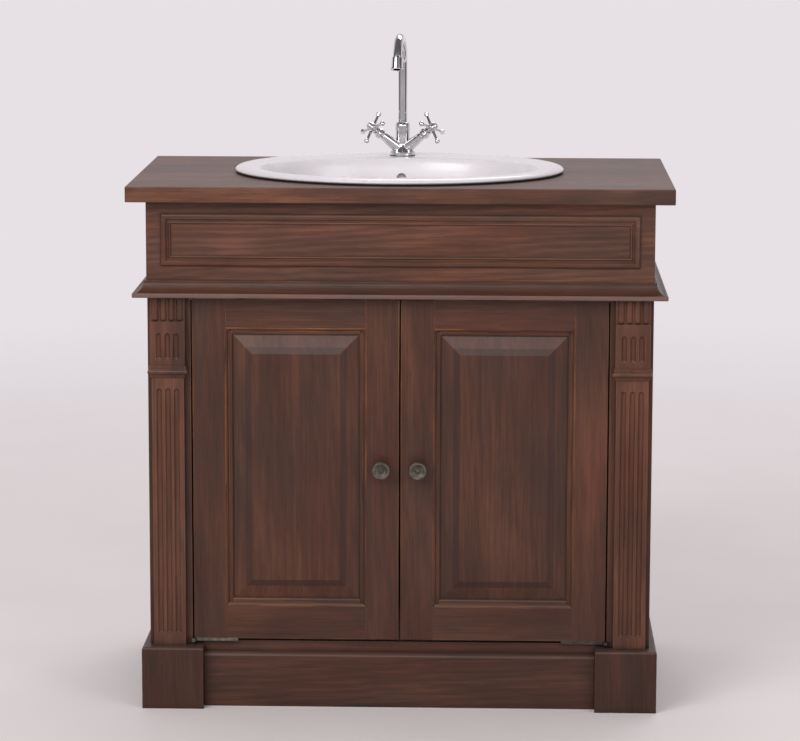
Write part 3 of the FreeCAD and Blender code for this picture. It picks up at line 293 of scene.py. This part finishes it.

# Shade painted into the hollows and under overhangs, and wear on the long edges, which is less
# near the floor
HOLLOW_SHADE_REACH = 0.014
HOLLOW_SHADE_SPAN = (0.25, 0.85, 0.42, 1.0)
EDGE_ROUND = 0.0014
WEAR_ROUND = 0.003
WEAR_LEAN = (0.17, 0.5)
WEAR_HEIGHTS = (0.15, 0.6)
WEAR_SHARES = (0.3, 1.0)
BARE_SPAN = (0.36, 0.6)
WORN = 0.2
WORN_MORE = {
    "left_door_stiles": 0.6,
    "left_door_rails": 1.0,
    "right_door_stiles": 0.5,
    "right_door_rails": 0.7,
    "left_capital": 0.35,
    "right_capital": 0.35,
    "left_pilaster": 0.3,
    "right_pilaster": 0.3,
}

# Dust and painted sheen on faces that look up, painted shade on the steep faces of the panels, and
# moulding noses made pale by wear and a painted highlight
STREAK_SPAN = (0.2, 0.7)
DUST_AND_SHEEN_SLOPE = (0.02, 0.24)
DUST_AND_SHEEN_STREAKS = (0.7, 1.2)
DUST_AND_SHEEN = 0.08
DUST_AND_SHEEN_BY_BOARD = {
    "left_door_panel": 0.14,
    "right_door_panel": 0.12,
    "cornice_front": 0.02,
    "cornice_left": 0.02,
    "cornice_right": 0.02,
    "left_pilaster": 0.03,
    "right_pilaster": 0.03,
}
STEP_SHADE = {"left_door_panel": 0.52, "right_door_panel": 0.52}
STEP_SHADE_SLOPE = (0.962, 0.974)
STEP_DUST_AND_SHEEN_LEFT = 0.35
NOSE_DEPTH = 0.004
NOSE_WEAR_AND_SHEEN = 0.2
NOSE_STREAKS = (0.6, 1.3)
NOSES = {"cornice_front": ("Y", -1), "cornice_left": ("X", -1), "cornice_right": ("X", 1)}

# Gloss and relief
GLOSS_LIFT = 0.08
STREAK_ROUGHNESS = 0.16
PORE_ROUGHNESS = 0.12
FIGURE_RELIEF = 0.3

# Each board's grain, tone and roughness
OAK_BOARDS = {
    "countertop": ("along_x", 1.15, 0.5),
    "left_side_panel": ("along_z", 1.0, 0.42),
    "right_side_panel": ("along_z", 1.0, 0.42),
    "bottom_board": ("along_x", 0.9, 0.5),
    "back_top_rail": ("along_x", 0.9, 0.5),
    "front_top_rail": ("along_x", 0.9, 0.5),
    "frieze_board": ("along_x", 1.24, 0.4),
    "frieze_moulding": ("along_x", 1.12, 0.42),
    "left_stile": ("along_z", 0.95, 0.42),
    "right_stile": ("along_z", 0.95, 0.42),
    "cornice_front": ("along_x", 0.92, 0.4),
    "cornice_left": ("along_y", 0.9, 0.4),
    "cornice_right": ("along_y", 0.9, 0.4),
    "left_foot": ("along_z", 0.67, 0.46),
    # The right foot is darker than the left one as painted shade on the right side
    "right_foot": ("along_z", 0.5, 0.46),
    "plinth_front": ("along_x", 0.74, 0.46),
    "plinth_left": ("along_y", 0.85, 0.46),
    "plinth_right": ("along_y", 0.85, 0.46),
    "left_pilaster": ("along_z", 1.14, 0.4),
    "right_pilaster": ("along_z", 1.27, 0.4),
    "left_capital": ("along_z", 1.12, 0.4),
    "right_capital": ("along_z", 1.12, 0.4),
    "left_door_stiles": ("along_z", 0.8, 0.42),
    "right_door_stiles": ("along_z", 0.84, 0.42),
    "left_door_rails": ("along_x", 0.82, 0.42),
    "right_door_rails": ("along_x", 0.84, 0.42),
    "left_door_panel": ("along_z", 0.82, 0.4),
    "right_door_panel": ("along_z", 0.79, 0.4),
}


def heart(node, grain, board):
    """The shift that puts the tree's middle behind a board, each on another length of the tree."""
    low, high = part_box(node)
    centre = Euler(GRAIN_TURNS[grain]).to_matrix() @ ((low + high) / 2)
    aside = HEART_ASIDE * (board % BOARD_CYCLE)
    return Vector((BOARD_STEP * board, -HEART_DEPTH, aside)) - centre


def nose_of(node):
    """A moulding's nose: the axis it points along, its tip, and a little behind that."""
    axis, side = NOSES[node]
    tip = getattr(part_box(node)[side > 0], axis.lower())
    return axis, tip, tip - side * NOSE_DEPTH


def oak_figure(wood, node, board, along, streaks):
    """The light and dark of the wood: streaks, fibres, clouds and faint growth rings."""
    tilt = (0, math.radians(RING_TILT), math.radians(RING_SKEW + board % BOARD_CYCLE))
    rings = wood.add(
        "ShaderNodeTexWave",
        {"Vector": wood.stretch(wood.stretch(along, turn=tilt), scale=RING_STRETCH), **RING_WAVES},
        wave_type="RINGS",
        rings_direction="X",
        wave_profile="SIN",
    ).outputs["Fac"]
    cloudy = CALM.get(node, CLOUDY)
    streaky = 1 - FIBROUS - cloudy
    return wood.total(
        wood.math("MULTIPLY", streaks, streaky),
        (wood.grained(along, **FIBRES), FIBROUS),
        (wood.grained(along, **CLOUDS), cloudy),
        (wood.math("SUBTRACT", rings, RING_MIDDLE), FLAMES.get(node, FLAME)),
    )


def oak_wear(wood, node, grain, along):
    """How far the stain is worn off: in patches along the long edges."""
    edges = wood.long_edge_share(wood.soft_normal(WEAR_ROUND), grain, *WEAR_LEAN)
    handled = wood.span(wood.part(wood.place(), "Z"), *WEAR_HEIGHTS, *WEAR_SHARES)
    patches = wood.grained(along, **BARE_PATCHES)
    bare = wood.span(patches, *BARE_SPAN, to_high=WORN_MORE.get(node, WORN))
    return wood.math("MULTIPLY", wood.math("MULTIPLY", edges, handled), bare)


def oak(node, board, grain, tone, roughness):
    """Dark stained oak: its figure, pores and blotches, with painted shade, wear, and dust with
    painted sheen.
    """
    wood = Shader(f"oak_{node}", Specular_IOR_Level=0.3, Coat_Weight=0.05, Coat_Roughness=0.25)
    along = wood.place(shift=heart(node, grain, board), turn=GRAIN_TURNS[grain])
    streaks = wood.grained(along, **STREAKS)
    figure = oak_figure(wood, node, board, along, streaks)
    pores = wood.span(wood.grained(along, **PORES), *PORE_SPAN)
    colour = wood.ramp(figure, *FIGURE_STOPS)
    colour = wood.mix(wood.math("MULTIPLY", pores, PORE_DARKNESS), colour, OAK_PORE)
    colour = wood.tinted(colour, wood.ramp(wood.grained(along, **BLOTCHES), *BLOTCH_STOPS))
    colour = wood.tinted(colour, (tone, tone, tone, 1.0))
    # Painted shade: darker in the hollows, the joints and under the cornice
    colour = wood.tinted(colour, wood.span(wood.openness(HOLLOW_SHADE_REACH), *HOLLOW_SHADE_SPAN))
    colour = wood.mix(oak_wear(wood, node, grain, along), colour, OAK_WORN)
    # Dust and painted sheen: paler on faces that look up, as if lit from above
    upward = wood.part(wood.facing(), "Z")
    dust_and_sheen = wood.math(
        "MULTIPLY",
        wood.span(upward, *DUST_AND_SHEEN_SLOPE, to_high=DUST_AND_SHEEN_BY_BOARD.get(node, DUST_AND_SHEEN)),
        wood.span(streaks, *STREAK_SPAN, *DUST_AND_SHEEN_STREAKS),
    )
    # Painted shade: the steep step faces of the raised panels are darkened, and keep less of the
    # dust and sheen
    if node in STEP_SHADE:
        turned = wood.add("ShaderNodeTexCoord").outputs["Normal"]
        level = wood.math("ABSOLUTE", wood.part(turned, "Y"))
        steep = wood.span(level, *STEP_SHADE_SLOPE, to_low=1.0, to_high=0.0)
        colour = wood.mix(wood.math("MULTIPLY", steep, STEP_SHADE[node]), colour, OAK_STEP_SHADE)
        left = wood.span(steep, 0, 1, to_low=1.0, to_high=STEP_DUST_AND_SHEEN_LEFT)
        dust_and_sheen = wood.math("MULTIPLY", dust_and_sheen, left)
    # Moulding noses made paler: partly wear, partly a painted highlight
    if node in NOSES:
        axis, tip, behind = nose_of(node)
        nose = wood.span(wood.part(wood.place(), axis), behind, tip, to_high=NOSE_WEAR_AND_SHEEN)
        pale = wood.math("MULTIPLY", nose, wood.span(streaks, *STREAK_SPAN, *NOSE_STREAKS))
        dust_and_sheen = wood.math("MAXIMUM", dust_and_sheen, pale)
    relief = wood.math("SUBTRACT", wood.math("MULTIPLY", figure, FIGURE_RELIEF), pores)
    soft = wood.soft_normal(EDGE_ROUND)
    wood.set(
        Base_Color=wood.mix(dust_and_sheen, colour, OAK_DUST_AND_SHEEN),
        Roughness=wood.total(
            roughness - GLOSS_LIFT, (streaks, STREAK_ROUGHNESS), (pores, PORE_ROUGHNESS)
        ),
        Normal=wood.bump(relief, strength=0.2, distance=0.0004, normal=soft),
    )
    return wood.material


# Other finishes

# Where a pattern's noise is taken to begin and end
MIDDLE = (0.3, 0.7)
BACK_DARK = shade((92, 66, 52))
BACK_LIGHT = shade((124, 92, 72))
BACK_FIBRE = shade((66, 45, 36))
# The glaze colours carry a faint lilac cast, which is painted reflected light from a wall
GLAZE_DARK = shade((208, 203, 207))
GLAZE_LIGHT = shade((217, 212, 216))
GLAZE_SPECK = shade((190, 182, 172))
CHROME_DARK = shade((206, 206, 208))
CHROME_LIGHT = shade((232, 231, 232))
AGED_DARK = shade((71, 68, 62))
AGED_MIDDLE = shade((104, 100, 91))
AGED_LIGHT = shade((132, 124, 114))
AGED_RUBBED = shade((190, 180, 166))
AGED_STOPS = ((0.3, AGED_DARK), (0.55, AGED_MIDDLE), (0.75, AGED_LIGHT))
AGED_HOLLOW = 0.35
STEEL_DARK = shade((150, 148, 144))
STEEL_LIGHT = shade((196, 193, 188))
SKIN_SPREAD = 0.08
KNOB_TONE = 0.74
BEAD_TONE = 1.8
BEAD_TINT = (1.08, 0.96, 0.92, 1.0)
# The hinges are lit and shaded copies of one metal: the left one paler as painted light, the right
# one darker as painted shade
HINGE_LIT_AND_SHADED_TONES = {"left": 1.0, "right": 0.5}


def two_tone(shader, pattern, dark, light):
    """A colour that runs from dark to light with a pattern."""
    start, end = MIDDLE
    return shader.ramp(pattern, (start, dark), (end, light))


def back_board():
    """Plain brown board, with upright streaks and fibres."""
    board = Shader("plain_board", Specular_IOR_Level=0.35)
    along = board.place(turn=GRAIN_TURNS["along_z"])
    streaks = board.grained(along, along=3, across=70, detail=5.0, roughness=0.6)
    fibres = board.grained(along, along=30, across=500, detail=2.0)
    fibrous = board.span(fibres, low=0.5, high=0.7, to_high=0.35)
    soft = board.soft_normal(EDGE_ROUND / 2)
    board.set(
        Base_Color=board.mix(fibrous, two_tone(board, streaks, BACK_DARK, BACK_LIGHT), BACK_FIBRE),
        Roughness=board.span(streaks, *MIDDLE, to_low=0.6, to_high=0.75),
        Normal=board.bump(fibres, strength=0.2, distance=0.0004, normal=soft),
    )
    return board.material


def glaze():
    """White glazed ceramic, with a faint unevenness in the glaze, a softer edge and painted shade
    in its holes.
    """
    china = Shader("white_glaze", Specular_IOR_Level=0.5, Coat_Weight=0.25, Coat_Roughness=0.2)
    spread = china.place()
    clouds = china.noise(spread, scale=9.0, detail=3.0)
    ripple = china.noise(spread, scale=26.0, detail=2.0)
    specks = china.noise(spread, scale=420.0, detail=1.0)
    speckled = china.span(specks, low=0.74, high=0.8, to_high=0.25)
    colour = china.mix(speckled, two_tone(china, clouds, GLAZE_DARK, GLAZE_LIGHT), GLAZE_SPECK)
    # Painted shade: the glaze is darkened in holes and hollows, such as the overflow slot
    hollow = china.openness(reach=0.02, samples=8)
    soft = china.soft_normal(radius=0.0025)
    china.set(
        Base_Color=china.tinted(colour, china.span(hollow, low=0.1, high=0.6, to_low=0.12)),
        Roughness=china.span(clouds, *MIDDLE, to_low=0.24, to_high=0.32),
        Normal=china.bump(ripple, strength=0.012, distance=0.001, normal=soft),
    )
    return china.material


def chrome():
    """Bright plate with faint smears and water marks."""
    plate = Shader("chrome_plate", Metallic=1.0)
    spread = plate.place()
    upright = plate.stretch(spread, scale=(60, 60, 22))
    smears = plate.noise(upright, scale=1.0, detail=4.0, roughness=0.6, distortion=0.8)
    spots = plate.noise(spread, scale=340.0, detail=1.0)
    smeared = plate.span(smears, low=0.35, high=0.75, to_low=0.035, to_high=0.1)
    spotted = plate.span(spots, low=0.66, high=0.74, to_high=0.08)
    plate.set(
        Base_Color=two_tone(plate, smears, CHROME_DARK, CHROME_LIGHT),
        Roughness=plate.math("ADD", smeared, spotted),
        Normal=plate.soft_normal(radius=0.0005),
    )
    return plate.material


def aged_metal(name, tone, tint=WHITE):
    """Antiqued metal: grey-green in the hollows, rubbed pale on the high rims."""
    metal = Shader(name, Metallic=0.85)
    spread = metal.place()
    patches = metal.noise(spread, scale=160.0, detail=4.0, roughness=0.6)
    grain = metal.noise(spread, scale=900.0, detail=2.0)
    soft = metal.soft_normal(radius=0.0008)
    rims = metal.edge_share(soft, low=0.8, high=0.98)
    rubbed = metal.math("MULTIPLY", rims, metal.span(grain, low=0.3, high=0.6, to_low=0.4))
    colour = metal.mix(rubbed, metal.ramp(patches, *AGED_STOPS), AGED_RUBBED)
    colour = metal.tinted(colour, tint)
    hollow = metal.openness(reach=0.006)
    depth = metal.span(hollow, low=0.3, high=0.9, to_low=AGED_HOLLOW * tone, to_high=tone)
    metal.set(
        Base_Color=metal.tinted(colour, depth),
        Roughness=metal.span(patches, *MIDDLE, to_low=0.42, to_high=0.6),
        Normal=metal.bump(grain, strength=0.15, distance=0.0002, normal=soft),
    )
    return metal.material


def satin_steel():
    """Brushed steel."""
    steel = Shader("satin_steel", Metallic=1.0)
    brushed = steel.grained(steel.place(), along=20, across=700, detail=3.0)
    soft = steel.soft_normal(radius=0.0004)
    steel.set(
        Base_Color=two_tone(steel, brushed, STEEL_DARK, STEEL_LIGHT),
        Roughness=steel.span(brushed, *MIDDLE, to_low=0.28, to_high=0.44),
        Normal=steel.bump(brushed, strength=0.08, distance=0.0001, normal=soft),
    )
    return steel.material


def dull_solid(name, dark, light, roughness):
    """Rubber or moulded plastic with a fine matt skin."""
    skin = Shader(name, Specular_IOR_Level=0.4)
    spread = skin.place()
    mottle = skin.noise(spread, scale=120.0, detail=3.0)
    pitting = skin.noise(spread, scale=1400.0, detail=1.0)
    soft = skin.soft_normal(radius=0.0005)
    skin.set(
        Base_Color=two_tone(skin, mottle, shade(dark), shade(light)),
        Roughness=skin.span(mottle, *MIDDLE, roughness - SKIN_SPREAD, roughness + SKIN_SPREAD),
        Normal=skin.bump(pitting, strength=0.12, distance=0.0001, normal=soft),
    )
    return skin.material


def dress(node, material):
    mesh = nodes[node].data
    mesh.materials.clear()
    mesh.materials.append(material)


for board, (node, look) in enumerate(OAK_BOARDS.items()):
    dress(node, oak(node, board, *look))

slot_of = {piece["node"]: piece["material_slot"] for piece in frame["record"]["subparts"]}
finishes = {
    "back_board": back_board(),
    "glaze": glaze(),
    "chrome": chrome(),
    "aged_metal": aged_metal("aged_metal", KNOB_TONE),
    "steel": satin_steel(),
    "rubber": dull_solid("black_rubber", (22, 21, 20), (38, 36, 35), roughness=0.72),
    "catch_plastic": dull_solid("brown_plastic", (50, 36, 30), (66, 49, 41), roughness=0.5),
}
for node, slot in slot_of.items():
    if slot in finishes:
        dress(node, finishes[slot])
rubbed_beads = aged_metal("rubbed_beads", BEAD_TONE, BEAD_TINT)
# One copy of the hinge metal for each side, paler on the left and darker on the right as painted
# light and shade
for side, tone in HINGE_LIT_AND_SHADED_TONES.items():
    dull_hinge = aged_metal(f"dull_{side}_hinge", tone)
    dress(f"{side}_hinge_plates", dull_hinge)
    dress(f"{side}_hinge_leaves", dull_hinge)


# Small pieces

# Sizes of the beads as shares of the knob's radius, and of the rest in metres
BEAD_COUNT = 26
BEAD_SHARE = 0.085
BEAD_RING_SHARE = 0.81
BEAD_ROUNDNESS = 2
SCREW_COUNT = 7
SCREW_REACH = 0.9
SCREW_RADIUS = 0.004
SCREW_PROUD = 0.0008
SCREW_STEPS = 14
SLOT_HALF = 0.0006
SLOT_FLOOR = SCREW_PROUD / 4
SLOT_TURN = 0.83
STOP_DROP = 0.011
STOP_HINGE_GAP = 0.003
STOP_EASE = 0.0015


def mesh_piece(name, mesh, body, finish, smooth):
    """A finished mesh as a piece of the object that rides on one of its bodies."""
    data = bpy.data.meshes.new(name)
    mesh.to_mesh(data)
    mesh.free()
    piece = bpy.data.objects.new(name, data)
    bpy.context.scene.collection.objects.link(piece)
    for polygon in data.polygons:
        polygon.use_smooth = smooth
    data.materials.append(finish)
    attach(piece, body)


def bead_ring(side):
    """A ring of small beads round the dished face of a knob."""
    low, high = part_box(f"{side}_knob")
    radius = (high.x - low.x) / 2
    centre = Vector(((low.x + high.x) / 2, low.y, (low.z + high.z) / 2))
    mesh = bmesh.new()
    for index in range(BEAD_COUNT):
        angle = 2 * math.pi * index / BEAD_COUNT
        out = Vector((math.cos(angle), 0, math.sin(angle)))
        bmesh.ops.create_icosphere(
            mesh,
            subdivisions=BEAD_ROUNDNESS,
            radius=radius * BEAD_SHARE,
            matrix=Matrix.Translation(centre + out * radius * BEAD_RING_SHARE),
        )
    mesh_piece(f"{side}_knob_beads", mesh, f"{side}_door", rubbed_beads, smooth=True)


def wall(mesh, low, high):
    """The faces between two rings of points, one above the other."""
    for index in range(len(low)):
        after = (index + 1) % len(low)
        mesh.faces.new((low[after], low[index], high[index], high[after]))


def raised(mesh, outline, place, proud):
    """A flat outline raised from the panel's back face, with its edge eased."""
    across, back, level = place
    eased = [point * (1 - SCREW_PROUD / 2 / SCREW_RADIUS) for point in outline]
    rows = []
    for points, rise in ((outline, -SCREW_PROUD), (outline, proud / 2), (eased, proud)):
        rows.append([mesh.verts.new((across + p.x, back + rise, level + p.y)) for p in points])
    mesh.faces.new(rows[0])
    mesh.faces.new(list(reversed(rows[-1])))
    for low, high in zip(rows, rows[1:]):
        wall(mesh, low, high)


def screw_heads():
    """Slotted screws through the back panel into the rear edge of the bottom board."""
    board_low, board_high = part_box("bottom_board")
    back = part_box("back_panel")[1].y
    level = (board_low.z + board_high.z) / 2
    cut = math.asin(SLOT_HALF / SCREW_RADIUS)
    half = []
    for step in range(SCREW_STEPS + 1):
        angle = cut + (math.pi - 2 * cut) * step / SCREW_STEPS
        half.append(Vector((math.cos(angle), math.sin(angle))) * SCREW_RADIUS)
    floor = [Vector((p.x, SLOT_HALF)) for p in (half[0], half[-1])]
    floor += [Vector((p.x, -SLOT_HALF)) for p in (half[-1], half[0])]
    mesh = bmesh.new()
    for count in range(SCREW_COUNT):
        across = board_high.x * SCREW_REACH * (2 * count / (SCREW_COUNT - 1) - 1)
        place = (across, back, level)
        turn = Matrix.Rotation(SLOT_TURN * count, 2)
        raised(mesh, [turn @ point for point in half], place, SCREW_PROUD)
        raised(mesh, [turn @ -point for point in half], place, SCREW_PROUD)
        raised(mesh, [turn @ point for point in floor], place, SLOT_FLOOR)
    bmesh.ops.recalc_face_normals(mesh, faces=mesh.faces)
    mesh_piece("back_screws", mesh, "cabinet", finishes["steel"], smooth=False)


def door_stops():
    """Thin strips under the front top rail, just behind the doors.

    They run from the hinges to the catches, and between the catches.
    """
    rail_low, rail_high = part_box("front_top_rail")
    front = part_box("door_catches")[0].y
    back, top = rail_high.y, rail_low.z
    bottom = top - STOP_DROP
    profile = (
        (front, top),
        (front, bottom + STOP_EASE),
        (front + STOP_EASE, bottom),
        (back - STOP_EASE, bottom),
        (back, bottom + STOP_EASE),
        (back, top),
    )
    left_catch, right_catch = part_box("left_door_strike"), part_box("right_door_strike")
    spans = (
        (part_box("left_hinge_plates")[1].x + STOP_HINGE_GAP, left_catch[0].x),
        (left_catch[1].x, right_catch[0].x),
        (right_catch[1].x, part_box("right_hinge_plates")[0].x - STOP_HINGE_GAP),
    )
    mesh = bmesh.new()
    for span in spans:
        rings = [[mesh.verts.new((x, y, z)) for y, z in profile] for x in span]
        for ring in rings:
            mesh.faces.new(ring)
        wall(mesh, *rings)
    bmesh.ops.recalc_face_normals(mesh, faces=mesh.faces)
    wood = nodes["front_top_rail"].data.materials[0]
    mesh_piece("door_stops", mesh, "cabinet", wood, smooth=False)


for side in ("left", "right"):
    bead_ring(side)
screw_heads()
door_stops()


# Stage

FLOOR_RADIUS = 9.0
FLOOR_STEPS = 96
FLOOR_FADE = (1.1, 4.5)
FLOOR_COLOUR = shade((222, 214, 215))
FLOOR_MOTTLE = shade((208, 200, 202))
BACKDROP_COLOUR = shade((231, 225, 230))
FRONT_COLOUR = shade((182, 178, 180))
SIDE_COLOUR = shade((134, 130, 131))
MIRRORED_SIDE_COLOUR = shade((61, 58, 59))
CEILING_COLOUR = shade((201, 199, 198))
MIRRORED_CEILING_COLOUR = shade((105, 103, 105))

# From the front of the room, 0, to the back, 1, and from eye level upwards
FRONT_END, SIDE_START, SIDE_END, BACK_START = 0.24, 0.4, 0.54, 0.7
CEILING_SPAN = (0.2, 0.8)

# Each softbox's place, aim, width and height in metres, and its power in watts
SOFTBOXES = {
    "key": ((-2.3, -3.6, 3.0), (0, 0, 0.6), (2.4, 2.0), 112),
    "window": ((0.2, -4.7, 2.4), (0, 0, 0.7), (3.2, 1.2), 30),
    "fill": ((2.8, -3.2, 2.0), (0, 0, 0.5), (2.0, 2.0), 40),
    "back": ((0.6, 2.6, 4.0), (0, 0, 0.6), (2.6, 1.6), 60),
}


def make_floor():
    """A pale floor that fades into the backdrop far from the object."""
    mesh = bmesh.new()
    bmesh.ops.create_circle(mesh, cap_ends=True, segments=FLOOR_STEPS, radius=FLOOR_RADIUS)
    data = bpy.data.meshes.new("floor")
    mesh.to_mesh(data)
    mesh.free()
    floor = bpy.data.objects.new("floor", data)
    bpy.context.scene.collection.objects.link(floor)
    paint = Shader("pale_floor", Roughness=0.7, Specular_IOR_Level=0.2)
    spread = paint.place()
    mottle = paint.span(paint.noise(spread, scale=3.0, detail=4.0), *MIDDLE, to_high=0.3)
    paint.set(Base_Color=paint.mix(mottle, FLOOR_COLOUR, FLOOR_MOTTLE))
    distance = paint.vector_math("LENGTH", spread)["Value"]
    far = paint.span(distance, *FLOOR_FADE, easing="SMOOTHSTEP")
    glow = paint.add("ShaderNodeEmission", {"Color": BACKDROP_COLOUR})
    faded = paint.add(
        "ShaderNodeMixShader",
        {
            0: paint.math("MULTIPLY", far, paint.seen_directly()),
            1: paint.surface.outputs[0],
            2: glow.outputs[0],
        },
    )
    paint.feed(paint.tree.nodes["Material Output"].inputs["Surface"], faded.outputs[0])
    data.materials.append(paint.material)


def make_world():
    """A pale backdrop, mirrored with dim sides and ceiling, and soft light bright overhead."""
    world = bpy.data.worlds.new("studio")
    bpy.context.scene.world = world
    world.use_nodes = True
    world.node_tree.nodes.clear()
    sky = Tree(world.node_tree)
    direction = sky.add("ShaderNodeTexCoord").outputs["Generated"]
    towards_back = sky.span(sky.part(direction, "Y"), -1, 1)
    overhead = sky.span(sky.part(direction, "Z"), *CEILING_SPAN)

    def room(side_colour, ceiling_colour):
        walls = sky.ramp(
            towards_back,
            (FRONT_END, FRONT_COLOUR),
            (SIDE_START, side_colour),
            (SIDE_END, side_colour),
            (BACK_START, BACKDROP_COLOUR),
            easing="EASE",
        )
        return sky.mix(overhead, walls, ceiling_colour)

    light = room(SIDE_COLOUR, CEILING_COLOUR)
    mirrored = room(MIRRORED_SIDE_COLOUR, MIRRORED_CEILING_COLOUR)
    from_camera = sky.add("ShaderNodeLightPath").outputs["Is Camera Ray"]
    seen = sky.mix(from_camera, mirrored, BACKDROP_COLOUR)
    shown = sky.mix(sky.seen_directly(), light, seen)
    background = sky.add("ShaderNodeBackground", {"Color": shown})
    sky.add("ShaderNodeOutputWorld", {"Surface": background.outputs[0]})


def softbox(name, place, aim, size, power):
    lamp = bpy.data.lights.new(name, "AREA")
    lamp.shape = "RECTANGLE"
    lamp.size, lamp.size_y = size
    lamp.energy = power
    box = bpy.data.objects.new(name, lamp)
    box.location = place
    box.rotation_euler = (Vector(aim) - Vector(place)).to_track_quat("-Z", "Y").to_euler()
    bpy.context.scene.collection.objects.link(box)


make_floor()
make_world()
for name, setting in SOFTBOXES.items():
    softbox(name, *setting)


# Camera

# Fitted to the corners of the worktop, the feet and the knobs in the photograph
IMAGE_WIDTH = 800
FOCAL_PIXELS = 3263
SENSOR_WIDTH = 36.0
CAMERA_PLACE = (0.1585, -5.554, 1.451)
CAMERA_YAW = math.radians(1.70)
CAMERA_PITCH = math.radians(9.33)
CAMERA_ROLL = math.radians(0.14)


def make_camera():
    lens = bpy.data.cameras.new("camera")
    lens.sensor_fit = "HORIZONTAL"
    lens.sensor_width = SENSOR_WIDTH
    lens.lens = SENSOR_WIDTH * FOCAL_PIXELS / IMAGE_WIDTH
    camera = bpy.data.objects.new("camera", lens)
    aim = Euler((math.pi / 2 - CAMERA_PITCH, 0, CAMERA_YAW)).to_matrix()
    camera.rotation_euler = (aim @ Matrix.Rotation(CAMERA_ROLL, 3, "Z")).to_euler()
    camera.location = CAMERA_PLACE
    bpy.context.scene.collection.objects.link(camera)
    bpy.context.scene.camera = camera


make_camera()
bpy.context.scene.view_settings.view_transform = "Standard"
